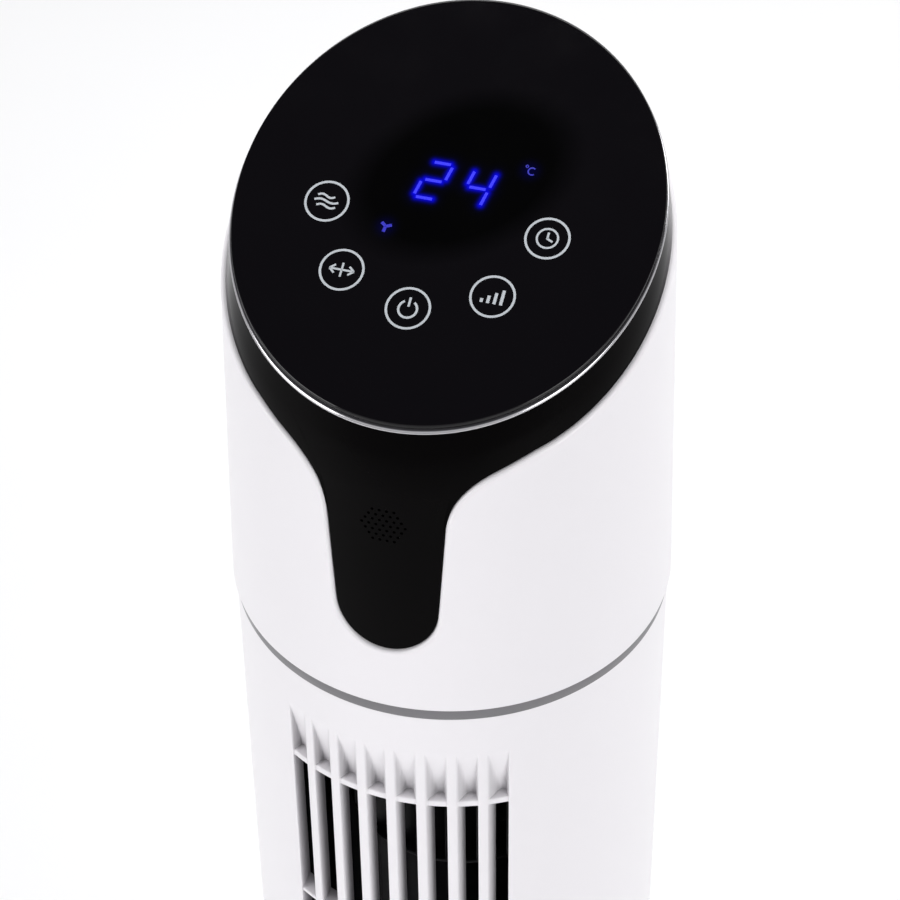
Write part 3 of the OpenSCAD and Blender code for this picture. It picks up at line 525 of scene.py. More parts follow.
def make_handle_cup():
    """A cup let into the back of the head, with a rolled lip round its mouth."""
    def ring(grow, depth=None, level=None):
        row = []
        for x, z in handle_outline(grow):
            r = head_radius(z - HEAD_Z) - (depth or 0)
            row.append((-x, math.sqrt(r * r - x * x) if level is None else level, z))
        return row

    rows = [ring(-2.4, level=HANDLE_FLOOR + 2.2)]
    for grow, depth in ((-2.4, 4), (-2.3, 1.4), (-2.0, 0.5), (-1.3, 0.05), (-0.6, 0.0), (0.4, 0.15),
                        (0.4, 2.0), (0.1, 3.2)):
        rows.append(ring(grow, depth))
    rows.append(ring(0.1, level=HANDLE_FLOOR))
    inner = [(p[0] * 0.9, p[1] - 0.2, HANDLE_Z + (p[2] - HANDLE_Z) * 0.8) for p in rows[0]]
    shape = Shape()
    shape.grid([inner] + rows, wrap_points=True)
    shape.add(inner, [tuple(range(len(inner)))])
    shape.add(rows[-1], [tuple(reversed(range(len(inner))))])
    piece("handle_recess", shape, "white_shell", replaces=["handle_cup"], sharp=50)


# ---- Black insert: collar and tongue in one ----
COLLAR_R = PANEL_R + 0.6
INSERT_WALL = 2.4


def seat_level(u, radius):
    return SEAT_H - math.tan(PANEL_TILT) * radius * math.cos(u)


def insert_radius(u, z):
    """The tongue follows the head's taper; above the rim the face leans in to the panel's seat."""
    rim = rim_level(u)
    rise = max(seat_level(u, COLLAR_R) - rim, 1.0)
    face = head_radius(z) - INSERT_IN
    start = head_radius(rim) - INSERT_IN
    lean = start + (COLLAR_R - start) * (z - rim) / rise
    soft = 1.5
    meet = max(soft - abs(face - lean), 0) / soft
    return min(face, lean) - meet * meet * soft / 4


def insert_point(u, z, depth):
    r = insert_radius(u, z) - depth
    return (r * math.sin(u), -r * math.cos(u), HEAD_Z + z)


def insert_normal(point):
    """The outward normal of the insert's face, for points that lie on it."""
    u, z = math.atan2(point.x, -point.y), point.z - HEAD_Z
    if abs(math.hypot(point.x, point.y) - insert_radius(u, z)) > 0.02:
        return None
    step = 0.2
    slope = (insert_radius(u, z + step) - insert_radius(u, z - step)) / (2 * step)
    return Vector((math.sin(u), -math.cos(u), -slope)).normalized()


def make_head_insert():
    """One skin from the tongue's edge up to the ring under the panel, and back down inside."""
    inset, soft, up = -0.12, 0.45, 64
    rows = [[insert_point(u, z, INSERT_WALL) for u, z in edge_offset(inset)]]
    for x, h in arc((0, 0), soft, 0, 90, 4):
        rows.append([insert_point(u, z, soft - h) for u, z in edge_offset(inset - soft + x)])
    foot = edge_offset(inset - soft)
    face = []
    for k in range(1, up + 1):
        t = k / up
        row = []
        for i, (u, z) in enumerate(foot):
            end = -math.pi + 2 * math.pi * i / len(foot)
            top = max(seat_level(end, COLLAR_R), rim_level(end) + 0.3)
            row.append((u + (end - u) * t * t, z + (top - z) * t))
        face.append(row)
    rows += [[insert_point(u, z, 0) for u, z in row] for row in face]
    rows += [[insert_point(u, z - 0.1, INSERT_WALL) for u, z in row] for row in reversed(face[3::4])]
    shape = Shape()
    shape.grid(columns(rows), wrap_rows=True, wrap_points=True)
    obj = piece("collar_and_tongue", shape, "black_gloss", replaces=["head_insert"], sharp=60)
    carve(obj, sound_holes(), insert_normal)


def sound_holes():
    """Small round holes that fill a hexagon, four to a side."""
    shape = Shape()
    pitch, radius, level, steps = 2.5, 0.55, 83.2, 12
    for row in range(-3, 4):
        for i in range(7 - abs(row)):
            x = (i - (6 - abs(row)) / 2) * pitch
            z = HEAD_Z + level + row * pitch * math.sqrt(3) / 2
            prism(shape, arc((x, z), radius, 0, 360, steps)[:-1], -90, -60, lambda a, b, w: (a, w, b))
    return shape


# ---- Touch panel ----
def on_panel(x, s, lift=0.0):
    """A point of the panel's face: x across, s up the slope, lift above it."""
    c, k = math.cos(PANEL_TILT), math.sin(PANEL_TILT)
    return (x, s * c - lift * k, HEAD_Z + PANEL_H + s * k + lift * c)


def sheared(drop):
    """Moves a point of an upright ring to the slope of the panel, drop below its face."""
    return lambda p: (p[0], p[1], HEAD_Z + PANEL_H - drop + p[2] + math.tan(PANEL_TILT) * p[1])


def make_panel_rim():
    shape = Shape()
    outer, inner, soft = PANEL_R + 0.8, PANEL_R - 3, 0.72
    outline = rounded([(outer, 0, soft), (outer, RIM_DROP, soft), (inner, RIM_DROP, 0.1), (inner, 0, 0.1)], 6)
    lathe(shape, outline, 300, move=sheared(PANEL_T + RIM_DROP))
    piece("panel_bright_rim", shape, "bright_trim", replaces=["panel_rim"], sharp=60)


DIGIT_H, DIGIT_W, DIGIT_PITCH = 14.8, 8.7, 15.2
DIGIT_X, DIGIT_LOW, DIGIT_SLANT = -13.0, 0.8, math.tan(math.radians(12))
SEGMENTS = {
    "a": ((0, 2), (1, 2)), "b": ((1, 2), (1, 1)), "c": ((1, 1), (1, 0)), "d": ((0, 0), (1, 0)),
    "e": ((0, 0), (0, 1)), "f": ((0, 1), (0, 2)), "g": ((0, 1), (1, 1)),
}
LIT = ("abged", "fgbc")
BAR, BAR_GAP = 1.15, 1.0
UNIT_X, UNIT_S = 23.6, 17.9
FAN_X, FAN_S = -18.3, -11.3


def lit_bars(place):
    """The lit segments of one digit, as pairs of end points on the panel's face."""
    bars = []
    for name in LIT[place]:
        ends = []
        for (x, y), (ox, oy) in (SEGMENTS[name], SEGMENTS[name][::-1]):
            px = BAR / 2 + x * (DIGIT_W - BAR) + BAR_GAP * (ox - x)
            py = BAR / 2 + y * (DIGIT_H - BAR) / 2 + BAR_GAP * (oy - y)
            ends.append((DIGIT_X + place * DIGIT_PITCH + px + DIGIT_SLANT * py, DIGIT_LOW + py))
        bars.append(ends)
    return bars


def bar_distance(x, s, bar):
    (ax, ay), (bx, by) = bar
    dx, dy = bx - ax, by - ay
    t = np.clip(((x - ax) * dx + (s - ay) * dy) / (dx * dx + dy * dy), 0, 1)
    return np.hypot(x - ax - t * dx, s - ay - t * dy)


def glow_at(x, s):
    """Blue light in the tinted panel, falling off round each lit mark."""
    near, wide = np.zeros_like(x), np.zeros_like(x)
    for bar in lit_bars(0) + lit_bars(1):
        far = bar_distance(x, s, bar)
        near = np.maximum(near, 0.75 * np.exp(-(far / 1.15) ** 2))
        wide += 0.006 * np.exp(-(far / 3.0) ** 2)
    for px, ps in ((UNIT_X, UNIT_S), (FAN_X, FAN_S)):
        wide += 0.03 * np.exp(-((x - px) ** 2 + (s - ps) ** 2) / 2.6 ** 2)
    return near + wide


def window_at(x, s):
    """The clear window over the display: a soft-edged oval that leans with the digits."""
    lean = math.radians(38)
    px, ps = x - 2, s - 12
    along = px * math.cos(lean) + ps * math.sin(lean)
    across = -px * math.sin(lean) + ps * math.cos(lean)
    return np.clip((1.15 - np.hypot(along / 38, across / 27)) / 0.32, 0, 1)


def make_touch_panel():
    """A flat face in fine rings, so that it can carry the glow, over a ground edge."""
    edge, fine = 0.35, 36
    outline = [(r, 0) for r in np.linspace(0, fine, 100)]
    outline += [(r, 0) for r in np.linspace(fine, PANEL_R - edge - 0.5, 24)[1:]]
    outline += list(reversed(arc((PANEL_R - edge, -edge), edge, 0, 90, 4)))
    outline += [(PANEL_R, 0.6 - PANEL_T), (PANEL_R - 0.7, -PANEL_T), (0, -PANEL_T)]
    shape = Shape()
    lathe(shape, outline, 360, move=sheared(0))
    obj = piece("touch_panel_window", shape, "black_panel", replaces=["touch_panel"], sharp=25)
    points = np.array([v.co for v in obj.data.vertices]) / MM
    x, s = points[:, 0], points[:, 1] / math.cos(PANEL_TILT)
    top = points[:, 2] > HEAD_Z + PANEL_H + math.tan(PANEL_TILT) * points[:, 1] - 0.01
    paint(obj, "glow", glow_at(x, s) * top)
    paint(obj, "window", window_at(x, s) * top)


def paint(obj, name, values):
    """Stores one number for each point of an object's mesh."""
    layer = obj.data.attributes.new(name, "FLOAT", "POINT")
    layer.data.foreach_set("value", np.asarray(values, np.float32))


# ---- Printed rings and symbols, and lit marks ----
PRINT_SUNK, PRINT_UP, GLOW_UP = -0.03, 0.05, 0.02


def stroke(shape, line, width, up=PRINT_UP, closed=False):
    """A flat ribbon of one width along a line on the panel's face, with square ends."""
    points = [Vector(p) for p in line]
    count = len(points)
    rows = []
    for i, p in enumerate(points):
        before = points[i - 1] if i or closed else p
        after = points[(i + 1) % count] if i < count - 1 or closed else p
        run = (after - before).normalized()
        side = Vector((-run.y, run.x)) * width / 2
        left, right = p + side, p - side
        rows.append([on_panel(*left, PRINT_SUNK), on_panel(*left, up), on_panel(*right, up),
                     on_panel(*right, PRINT_SUNK)])
    shape.grid(rows, wrap_rows=closed, wrap_points=True)
    if not closed:
        shape.add(rows[0], [(0, 1, 2, 3)])
        shape.add(rows[-1], [(3, 2, 1, 0)])


def circle(x, s, radius, steps=64):
    return arc((x, s), radius, 0, 360, steps)[:-1]


def breeze_symbol(shape, x, s):
    for level, start, length in ((1.9, -3.6, 6.0), (0.0, -4.4, 8.4), (-1.9, -3.2, 6.6)):
        steps = 18
        stroke(shape, [(x + start + length * i / steps, s + level + 0.55 * math.sin(2 * math.pi * i / steps))
                       for i in range(steps + 1)], 0.75)


def swing_symbol(shape, x, s):
    """A double arrow across the column it swings."""
    stroke(shape, [(x - 4.0, s), (x + 4.0, s)], 0.7)
    barb = math.radians(40)
    for side in (-1, 1):
        for up in (1, -1):
            end = (x + side * (4.2 - 2.4 * math.cos(barb)), s + up * 2.4 * math.sin(barb))
            stroke(shape, [(x + side * 4.2, s), end], 0.7)
    stroke(shape, [(x, s - 2.6), (x, s + 2.6)], 0.7)


def power_symbol(shape, x, s):
    stroke(shape, arc((x, s - 0.3), 3.1, 122, 418, 40), 0.8)
    stroke(shape, [(x, s + 0.6), (x, s + 4.0)], 0.8)


def speed_symbol(shape, x, s):
    for i in range(4):
        at = x - 3.3 + 2.2 * i
        stroke(shape, [(at, s - 2.6), (at, s - 1.2 + 1.35 * i)], 1.05)


def timer_symbol(shape, x, s):
    stroke(shape, circle(x, s, 3.5, 48), 0.7, closed=True)
    stroke(shape, [(x, s + 2.2), (x, s)], 0.7)
    stroke(shape, [(x - 0.3, s), (x + 1.9, s - 1.0)], 0.7)


KEYS = (
    ("breeze", -40.2, -6.0, breeze_symbol), ("swing", -28.4, -29.6, swing_symbol),
    ("power", -3.1, -38.9, power_symbol), ("speed", 23.1, -29.4, speed_symbol),
    ("timer", 35.5, -5.4, timer_symbol),
)
KEY_R, KEY_LINE = 7.25, 0.82


def make_key_prints():
    for name, x, s, symbol in KEYS:
        shape = Shape()
        stroke(shape, circle(x, s, KEY_R, 96), KEY_LINE, closed=True)
        symbol(shape, x, s)
        piece("key_" + name, shape, "key_print", sharp=30)


def glowing(name, shape, strength):
    obj = piece(name, shape, "display_glow", sharp=30)
    paint(obj, "core", [strength] * len(obj.data.vertices))


def make_display():
    for place, name in enumerate(("tens", "units")):
        shape = Shape()
        for bar in lit_bars(place):
            stroke(shape, bar, 1.0, up=GLOW_UP)
        glowing("digit_" + name, shape, 1.0)
    unit = Shape()
    stroke(unit, circle(UNIT_X - 1.2, UNIT_S + 1.4, 0.42, 20), 0.34, up=GLOW_UP, closed=True)
    stroke(unit, arc((UNIT_X + 0.8, UNIT_S - 0.2), 1.3, 50, 310, 24), 0.5, up=GLOW_UP)
    glowing("unit_mark", unit, 0.3)
    mark = Shape()
    for turn in (22, 142, 262):
        c, k = math.cos(math.radians(turn)), math.sin(math.radians(turn))
        stroke(mark, [(FAN_X + r * c, FAN_S + r * k) for r in (0.1, 2.1)], 1.1, up=GLOW_UP)
    glowing("fan_mark", mark, 0.35)


# ---- Bands between column and head, and column and base ----
def make_bands():
    lip = COLUMN_R - WALL - 0.2
    low, high = COLUMN_TOP, HEAD_Z
    foot = high - RING_LIP - LIP_H
    shape = Shape()
    lathe(shape, rounded([(lip - 2, foot, 0.3), (lip, foot, 0.3), (lip, low, 0),
                          (COLUMN_R + 0.1, low, 0.35), (COLUMN_R + 0.7, high, 0.35), (lip, high, 0),
                          (lip, high + LIP_H, 0.3), (lip - 2, high + LIP_H, 0.3)], 4), 240)
    piece("trim_band", shape, "trim_grey", replaces=["trim_ring"], sharp=50)
    low, high = span("lower_trim_ring")[0].z, COLUMN_BOTTOM
    shape = Shape()
    lathe(shape, rounded([(lip - 2, low + 3, 0), (lip, low + 3, 0), (lip, low, 0.2),
                          (COLUMN_R + 0.1, low, 0.4), (COLUMN_R + 0.1, high, 0.4), (lip, high, 0),
                          (lip, high + LIP_H, 0.3), (lip - 2, high + LIP_H, 0.3)], 4), 240)
    piece("lower_trim_band", shape, "trim_grey", replaces=["lower_trim_ring"], sharp=50)


# ---- Column housings: a curved wall with columns of slots, made as one closed skin ----
SLOTS, SLOT_PITCH, SLOT_W = 8, math.radians(8.1), 7.4
SLOT_TOP, SCOOP_H, RIB_PITCH, RIB_T, WINDOWS = 24, 25.4, 78.6, 1.8, 7
TOP_RIB_T = 3.0
BAR_DEPTH, SCOOP_DEEP, SCOOP_BACK, WINDOW_BACK = 9.0, 5.6, 2.2, 6.8
SCOOP_SHADE, SCOOP_SHADE_RUN = 0.45, 1.2
SHADE_FROM, SHADE_RUN, SHADE_OTHER_SIDE = 2.6, 5.8, 0.35
GRILLE_TOP = HEAD_Z - SLOT_TOP
RIB_TOP = GRILLE_TOP - SCOOP_H
GRILLE_BOTTOM = RIB_TOP - WINDOWS * RIB_PITCH - RIB_T - SCOOP_H
SEAM_ANGLE = math.radians(90) + math.asin(SEAM_Y / COLUMN_R)
BAR_EDGE, RIB_BACK, RIB_EDGE = 0.6, 0.9, 0.5
INTAKE_SLOTS, INTAKE_ROWS, INTAKE_PITCH, INTAKE_W, INTAKE_GAP = 13, 9, math.radians(7.4), 4.6, 6
INNER_STEPS = (0.9, 0.78, 0.62, 0.42, 0.18)


def column_point(u, x, depth, z, straight=False):
    """A point of the column: u the angle from the front, x further to the right, depth behind the face,
    either towards the axis or straight back."""
    a = u + x / COLUMN_R
    if straight:
        return (COLUMN_R * math.sin(a), depth - COLUMN_R * math.cos(a), z)
    return ((COLUMN_R - depth) * math.sin(a), (depth - COLUMN_R) * math.cos(a), z)


def both_sides(side):
    """A slot's section from its left bar to its right bar, made from its right half."""
    return [(-x, d) for x, d in side] + list(reversed(side))


def edge_arc(half, edge):
    """The rounded edge of a bar, from the face into the slot."""
    return [(half + edge - edge * math.sin(a), edge - edge * math.cos(a))
            for a in (math.radians(d) for d in (0, 22.5, 45, 67.5, 90))]


def flat_section(half, edge):
    """Plain wall where a slot would be, with as many points as a slot."""
    return both_sides([(x, 0.0) for x, _ in edge_arc(half, edge)] + [(half * k, 0.0) for k in INNER_STEPS])


def open_section(half, back, depth, edge):
    """A slot that goes through: rounded edges, then walls to the back."""
    walls = [(half + (back - half) * t, edge + (depth - edge) * t) for t in (0.2, 0.4, 0.6, 0.8, 1.0)]
    return both_sides(edge_arc(half, edge) + walls)


def rib_section(half, edge, depth):
    """A cross rib between two bars, its front at a depth."""
    bars = [(x, min(d, depth)) for x, d in edge_arc(half, edge)]
    return both_sides(bars + [(half * k, depth) for k in INNER_STEPS])


def scoop_section(half, edge, floor):
    """A scoop: two leaning walls over a floor at a depth, with the creases between them softened."""
    steep = SCOOP_DEEP / (half - SCOOP_BACK / 2)
    soft = 0.5
    side = []
    for x, _ in edge_arc(half, edge) + [(half * k, 0) for k in INNER_STEPS]:
        wall = (half + 0.35 * edge - x) * steep
        bank = max(0.0, (wall + math.hypot(wall, 0.4)) / 2 - 0.05)
        meet = max(soft - abs(bank - floor), 0) / soft
        side.append((x, max(0.0, min(bank, floor) - meet * meet * soft / 4)))
    return both_sides(side)


def front_rows():
    """Every level of the front housing: height, section of each slot, whether it is open above."""
    half, edge = SLOT_W / 2, BAR_EDGE
    flat = flat_section(half, edge)
    window = open_section(half, WINDOW_BACK / 2, BAR_DEPTH, edge)
    rows = [(z, flat, False) for z in (COLUMN_BOTTOM, GRILLE_BOTTOM - 4, GRILLE_BOTTOM - 2)]
    steps = 22
    scoop = [(SCOOP_H * i / steps, scoop_section(half, edge, SCOOP_DEEP * i / steps))
             for i in range(steps + 1)]
    rows += [(GRILLE_BOTTOM + rise, section, False) for rise, section in scoop]
    for i in range(WINDOWS + 1):
        top = RIB_TOP - (WINDOWS - i) * RIB_PITCH
        low = top - (TOP_RIB_T if i == WINDOWS else RIB_T)
        for z, depth in ((low, RIB_EDGE), (low + 0.15, 0.15), (low + RIB_EDGE, 0), (top - RIB_EDGE, 0),
                         (top - 0.15, 0.15), (top, RIB_EDGE)):
            rows.append((z, rib_section(half, edge, RIB_BACK + depth), False))
        if i < WINDOWS:
            end = top + RIB_PITCH - (TOP_RIB_T if i == WINDOWS - 1 else RIB_T)
            rows += [(top, window, True), (end, window, False)]
    rows += [(GRILLE_TOP - rise, section, False) for rise, section in reversed(scoop)]
    return rows + [(z, flat, False) for z in (GRILLE_TOP + 2, GRILLE_TOP + 4, COLUMN_TOP)]


def rear_rows():
    """Every level of the rear housing, with its rows of round-ended intake slots."""
    half, edge = INTAKE_W / 2, 0.5
    flat = flat_section(half, edge)
    rows = [(COLUMN_BOTTOM, flat, False)]
    row_h = (RIB_TOP - GRILLE_BOTTOM) / INTAKE_ROWS
    turns = [math.radians(d) for d in (6, 24, 45, 66, 90)]
    ends = [(half * (1 - math.cos(a)), half * math.sin(a)) for a in turns]
    for i in range(INTAKE_ROWS):
        low = GRILLE_BOTTOM + INTAKE_GAP + i * row_h
        high = low + row_h - INTAKE_GAP
        levels = [(low + rise, wide) for rise, wide in ends]
        levels += [(high - rise, wide) for rise, wide in reversed(ends)]
        rows.append((low - edge, flat, False))
        rows += [(z, open_section(wide, wide, WALL, edge), True) for z, wide in levels[:-1]]
        rows.append((levels[-1][0], open_section(levels[-1][1], levels[-1][1], WALL, edge), False))
        rows.append((high + edge, flat, False))
    return rows + [(COLUMN_TOP, flat, False)]


def slotted_wall(rows, slots, pitch, seam, turn, thick=None):
    """The closed skin. turn is the middle's angle and seam the angle from there to each seam.
    thick is (depth of the inner face behind the slots, lowest level, highest level, slot's half width)."""
    half = (slots - 1) / 2
    reach_u = half * pitch + 6.2 / COLUMN_R
    steps = 20
    plain = [(-seam + 0.4 / COLUMN_R, 0.0)]
    plain += [(-seam + (seam - reach_u) * i / steps, 0.0) for i in range(1, steps + 1)]
    lead, wide = len(plain) + 1, len(rows[0][1])
    shape = Shape()

    def level(z, section, edge_depth, depth=None):
        ends = [(-seam + 0.1 / COLUMN_R, edge_depth)] + plain
        points = [(turn + u, 0, d, False) for u, d in ends]
        for i in range(slots):
            points += [(turn + (i - half) * pitch, x, d, bool(thick)) for x, d in section]
        points += [(turn - u, 0, d, False) for u, d in reversed(ends)]
        return [column_point(u, x, d if depth is None else depth, z, flat) for u, x, d, flat in points]

    def open_here(i, k):
        return rows[i][2] and lead <= k < lead + slots * wide and (k - lead) % wide == wide // 2 - 1

    outer = [level(z, section, 0.3) for z, section, _ in rows]
    shape.grid(outer, skip=open_here)
    inner = [level(z, section, WALL, WALL) for z, section, _ in rows]
    if thick:
        thicken(inner, rows, lead, slots, pitch, *thick)
    shape.grid(inner, skip=open_here)
    for side in (0, -1):
        line = [row[side] for row in outer] + [row[side] for row in reversed(inner)]
        shape.add(line, [tuple(range(len(line)))])
    for end in (0, -1):
        shape.grid([outer[end], inner[end]])
    return shape


def thicken(inner, rows, lead, slots, pitch, deep, low, high, back):
    """Moves the inner face behind the front slots to where their bars end."""
    for line, (z, section, _) in zip(inner, rows):
        if not low - 0.01 <= z <= high + 0.01:
            continue
        for i in range(slots):
            for k, (x, _) in enumerate(section):
                at = lead + i * len(section) + k
                x = max(-back, min(back, x))
                line[at] = column_point((i - (slots - 1) / 2) * pitch, x, deep, z, True)


def shade_slots(obj):
    """Painted shade in the slots, matched to the photograph and not the plastic's own colour. Walls darken
    with their depth, and a scoop's walls all over. Walls facing counterclockwise from above, the ones the
    photograph shows, take all of it and the others less. With SHADE_OTHER_SIDE at 1 both would be alike."""
    shades = []
    for v in obj.data.vertices:
        r, z = math.hypot(v.co.x, v.co.y), v.co.z / MM
        depth = COLUMN_R - r / MM
        side = (v.normal.y * v.co.x - v.normal.x * v.co.y) / r
        side = abs(side) * (1.0 if side > 0 else SHADE_OTHER_SIDE)
        shade = min(max((depth - SHADE_FROM) / SHADE_RUN, 0), 1) * (0.5 + 0.5 * side)
        if v.co.y < 0 and (z > RIB_TOP or z < GRILLE_BOTTOM + SCOOP_H):
            shade += SCOOP_SHADE * side * min(max(depth / SCOOP_SHADE_RUN, 0), 1)
        shades.append(shade)
    paint(obj, "slot_shade", shades)


def make_front_housing():
    shape = slotted_wall(front_rows(), SLOTS, SLOT_PITCH, SEAM_ANGLE, 0.0,
                         (BAR_DEPTH, GRILLE_BOTTOM - 2, GRILLE_TOP + 2, WINDOW_BACK / 2))
    obj = piece("front_housing_moulding", shape, "white_shell", replaces=["front_housing"], sharp=48)
    shade_slots(obj)


SCREW_X, SCREW_LEVELS, SCREW_Y = 65, (90, 300, 540, 770), 36.5
WELL_R, WELL_WALL = 3.6, 1.9


def make_rear_housing():
    """The intake side, with a well for each of the long screws."""
    shape = slotted_wall(rear_rows(), INTAKE_SLOTS, INTAKE_PITCH, math.pi - SEAM_ANGLE, math.pi)
    obj = piece("rear_housing_moulding", shape, "white_shell", replaces=["rear_housing"], sharp=48)
    wells, cutter = Shape(), Shape()
    for x in (-SCREW_X, SCREW_X):
        for z in SCREW_LEVELS:
            def along(p, x=x, z=z):
                return (x + p[0], p[2], z + p[1])
            mouth = math.sqrt((COLUMN_R - 1) ** 2 - (abs(x) + WELL_R + WELL_WALL) ** 2)
            tube = [(WELL_R, SCREW_Y), (WELL_R, mouth), (WELL_R + WELL_WALL, mouth),
                    (WELL_R + WELL_WALL, SEAM_Y + 0.1), (1.8, SEAM_Y + 0.1), (1.8, SCREW_Y)]
            lathe(wells, tube, 32, move=along)
            lathe(cutter, [(0, SCREW_Y), (WELL_R, SCREW_Y), (WELL_R, 62), (0, 62)], 32, move=along)
    carve(obj, cutter, column_normal, 48)
    shade_slots(obj)
    piece("rear_screw_wells", wells, "white_shell", sharp=40)


def column_normal(point):
    """The outward normal of the column's face, for points that lie on it."""
    r = math.hypot(point.x, point.y)
    return Vector((point.x / r, point.y / r, 0)) if abs(r - COLUMN_R) < 0.02 else None


def cross(reach, half):
    """The outline of a plus sign."""
    arm = [(reach, -half), (reach, half), (half, half)]
    turned = [[(x, y), (-y, x), (-x, -y), (y, -x)] for x, y in arm]
    return [point[k] for k in range(4) for point in turned]


def make_housing_screws():
    """The long screws in the back of the column, each with its cross recess."""
    shape, cutter = Shape(), Shape()
    for x in (-SCREW_X, SCREW_X):
        for z in SCREW_LEVELS:
            profile = rounded([(0, SCREW_Y - 18, 0), (1.4, SCREW_Y - 18, 0.3), (1.4, SCREW_Y, 0),
                               (3.2, SCREW_Y, 0.2), (3.1, SCREW_Y + 1.2, 0.5), (1.6, SCREW_Y + 1.9, 0.5),
                               (0, SCREW_Y + 2, 0)], 3)
            lathe(shape, profile, 24, move=lambda p, x=x, z=z: (x + p[0], p[2], z + p[1]))
            prism(cutter, cross(1.7, 0.4), SCREW_Y + 0.9, SCREW_Y + 3,
                  lambda a, b, y, x=x, z=z: (x - a, y, z + b))
    obj = piece("housing_screws_cross", shape, "steel", replaces=["housing_screws"], sharp=45)
    carve(obj, cutter)


# ---- Base ----
BASE_SLOPE = 16.5
BASE_EDGE, BASE_KNEE_Z, BASE_OPEN, BASE_WALL = 12, 18, 71, 2.6
gland_low, gland_high = span("cord_gland")
GLAND_Z = (gland_low.z + gland_high.z) / 2
GLAND_R, GLAND_FLANGE, GLAND_BORE = 5.85, 8.0, 3.6


def base_outline():
    """Half section of the base's cover: foot edge, round shoulder, shallow cone and a flat round the neck."""
    center = (BASE_R - BASE_EDGE, BASE_KNEE_Z)
    outer = arc(center, BASE_EDGE, 0, 90 - BASE_SLOPE, 14)
    inner = arc(center, BASE_EDGE - BASE_WALL, 0, 90 - BASE_SLOPE, 10)
    flat = outer[-1][0] - (BASE_TOP - outer[-1][1]) / math.tan(math.radians(BASE_SLOPE))
    top = BASE_TOP - BASE_WALL
    corners = [(BASE_R - BASE_WALL, BASE_BOTTOM, 0.3), (BASE_R, BASE_BOTTOM, 0.8)]
    corners += [(x, z, 0) for x, z in outer]
    corners += [(flat, BASE_TOP, 8), (BASE_OPEN, BASE_TOP, 1.2), (BASE_OPEN, top, 0.4), (flat - 1, top, 0)]
    return rounded(corners + [(x, z, 0) for x, z in reversed(inner)], 5)


def make_base():
    gap = math.degrees(0.1 / BASE_R)
    for name, start, node in (("base_front_moulding", 180, "base_front_half"),
                              ("base_rear_moulding", 0, "base_rear_half")):
        shape = Shape()
        lathe(shape, base_outline(), 150, start + gap, start + 180 - gap)
        obj = piece(name, shape, "white_base", "base", [node], sharp=35)
    cutter = Shape()
    prism(cutter, arc((0, GLAND_Z), GLAND_R + 0.1, 0, 352.5, 47), 130, 160, lambda x, z, w: (-x, w, z))
    carve(obj, cutter)


def make_gland():
    shape = Shape()
    inner, outer = gland_low.y, gland_high.y
    profile = rounded([(GLAND_BORE, inner, 0.4), (GLAND_R, inner, 0.5), (GLAND_R, outer - 1.9, 0),
                       (GLAND_FLANGE, outer - 1.9, 0.2), (GLAND_FLANGE, outer, 0.9),
                       (GLAND_BORE, outer, 0.8)], 4)
    lathe(shape, profile, 72, move=lambda p: (p[0], p[2], GLAND_Z + p[1]))
    piece("cord_inlet_gland", shape, "rubber", "base", ["cord_gland"], sharp=50)


def make_feet():
    low, high = span("rubber_feet")
    foot_r, feet = 8, 6
    place_r = high.x - foot_r
    pad = rounded([(0, low.z, 0), (foot_r, low.z, 0.8), (foot_r, high.z, 0.2), (0, high.z, 0)], 4)
    shape = Shape()
    for i in range(feet):
        a = 2 * math.pi * i / feet
        lathe(shape, pad, 40,
              move=lambda p, a=a: (p[0] + place_r * math.cos(a), p[1] + place_r * math.sin(a), p[2]))
    piece("rubber_pads", shape, "rubber", "base", ["rubber_feet"], sharp=50)


# ---- Impeller ----
impeller_low, impeller_high = span("impeller")
IMP_X = (impeller_low.x + impeller_high.x) / 2
IMP_Y = (impeller_low.y + impeller_high.y) / 2
IMP_R = impeller_high.x - IMP_X
BLADES, SECTIONS, DISC_T, STUB_R = 24, 6, 1.6, 3.1


def blade_outline():
    """Section of one blade: a thin curved arc that thins towards its flat-cut ends."""
    steps = 8
    line = []
    for i in range(steps + 1):
        r = IMP_R - 10 + 9.8 * i / steps
        a = math.radians(16) * ((IMP_R - r) / 10) ** 1.5
        line.append(Vector((r * math.cos(a), r * math.sin(a))))
    left, right = [], []
    for i, p in enumerate(line):
        run = (line[min(i + 1, steps)] - line[max(i - 1, 0)]).normalized()
        side = Vector((-run.y, run.x)) * (0.55 * math.sin(math.radians(30 + 120 * i / steps)) + 0.05)
        left.append(tuple(p + side))
        right.append(tuple(p - side))
    return left + list(reversed(right))


def make_impeller():
    shape = Shape()
    low, high = impeller_low.z, impeller_high.z
    section = (high - low - DISC_T) / SECTIONS
    outline = blade_outline()

    def to_axis(p):
        return (p[0] + IMP_X, p[1] + IMP_Y, p[2])

    for k in range(SECTIONS):
        for i in range(BLADES):
            a = 2 * math.pi * (i + 0.5 * (k % 2)) / BLADES
            c, s = math.cos(a), math.sin(a)
            prism(shape, outline, low + k * section + DISC_T - 0.3, low + (k + 1) * section + 0.3,
                  lambda x, y, z, c=c, s=s: to_axis((x * c - y * s, x * s + y * c, z)))
    for k in range(SECTIONS + 1):
        z = low + k * section
        inner = 12 if k == 0 else (STUB_R if k == SECTIONS else IMP_R - 16)
        disc = [(inner, z, 0.2), (IMP_R, z, 0.5), (IMP_R, z + DISC_T, 0.5), (inner, z + DISC_T, 0.2)]
        lathe(shape, rounded(disc, 3), 120, move=to_axis)
    foot, top, boss_r = high - 12, high - 0.8, 8
    boss = [(STUB_R, foot, 0.2), (boss_r, foot, 0.6), (boss_r, top, 0), (STUB_R, top, 0)]
    lathe(shape, rounded(boss, 3), 48, move=to_axis)
    piece("impeller_blades", shape, "impeller_black", "impeller", ["impeller"], sharp=40)


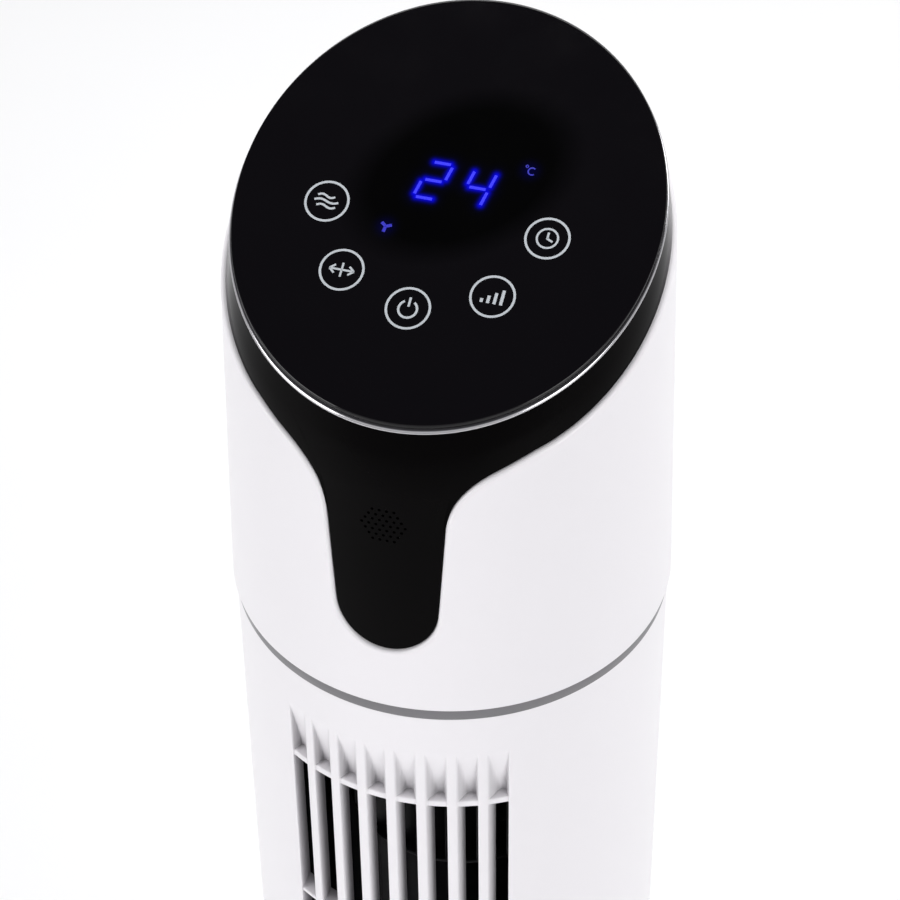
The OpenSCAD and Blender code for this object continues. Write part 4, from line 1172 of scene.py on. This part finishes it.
# ---- Studio ----
def make_world():
    """A soft surround: pale round the horizon, dark overhead so that the panel stays black."""
    world = bpy.data.worlds.new("studio")
    bpy.context.scene.world = world
    world.use_nodes = True
    tree = world.node_tree
    back = tree.nodes["Background"]
    place = tree.nodes.new("ShaderNodeTexCoord")
    split = tree.nodes.new("ShaderNodeSeparateXYZ")
    ramp = tree.nodes.new("ShaderNodeValToRGB")
    tree.links.new(place.outputs["Generated"], split.inputs[0])
    tree.links.new(split.outputs["Z"], ramp.inputs["Fac"])
    tree.links.new(ramp.outputs["Color"], back.inputs["Color"])
    low, high = ramp.color_ramp.elements
    low.color, low.position = (0.9, 0.9, 0.92, 1), 0.35
    high.color, high.position = (0.06, 0.06, 0.065, 1), 0.8
    back.inputs["Strength"].default_value = 0.75


def make_floor():
    size = 9
    mesh = bpy.data.meshes.new("studio_floor")
    corners = [(-size, -size, 0), (size, -size, 0), (size, size, 0), (-size, size, 0)]
    mesh.from_pydata(corners, [], [(0, 1, 2, 3)])
    ground = bpy.data.materials.new("studio_floor")
    n = Nodes(ground)
    pale = n.blend(n.remap(n.noise(500), 0, 1), (0.86, 0.86, 0.865), (0.88, 0.88, 0.885))
    n.link(pale, n.shader.inputs["Base Color"])
    n.set(Roughness=0.9)
    mesh.materials.append(ground)
    obj = bpy.data.objects.new("studio_floor", mesh)
    bpy.context.scene.collection.objects.link(obj)


def area_light(name, place, aim, size, power):
    data = bpy.data.lights.new(name, "AREA")
    data.shape = "RECTANGLE"
    data.size, data.size_y = size
    data.energy = power
    light = bpy.data.objects.new(name, data)
    bpy.context.scene.collection.objects.link(light)
    light.location = place
    light.rotation_euler = (Vector(aim) - Vector(place)).to_track_quat("-Z", "Y").to_euler()


def make_studio():
    make_world()
    make_floor()
    area_light("key_left", (-1.7, -1.5, 1.35), (0, 0, 0.75), (1.3, 1.7), 26)
    area_light("fill_right", (1.9, -1.3, 1.3), (0, 0, 0.75), (1.2, 1.7), 24)
    area_light("background", (0, 1.3, 2.6), (0, 1.3, 0), (2.4, 2.0), 66)
    bpy.context.scene.view_settings.view_transform = "Standard"


make_materials()
for part in frame["record"]["subparts"]:
    slots = frame["nodes"][part["node"]].data.materials
    slots.clear()
    slots.append(materials[part["material_slot"]])

make_head_shell()
make_handle_cup()
make_head_insert()
make_panel_rim()
make_touch_panel()
make_key_prints()
make_display()
make_bands()
make_front_housing()
make_rear_housing()
make_housing_screws()
make_base()
make_gland()
make_feet()
make_impeller()
make_studio()
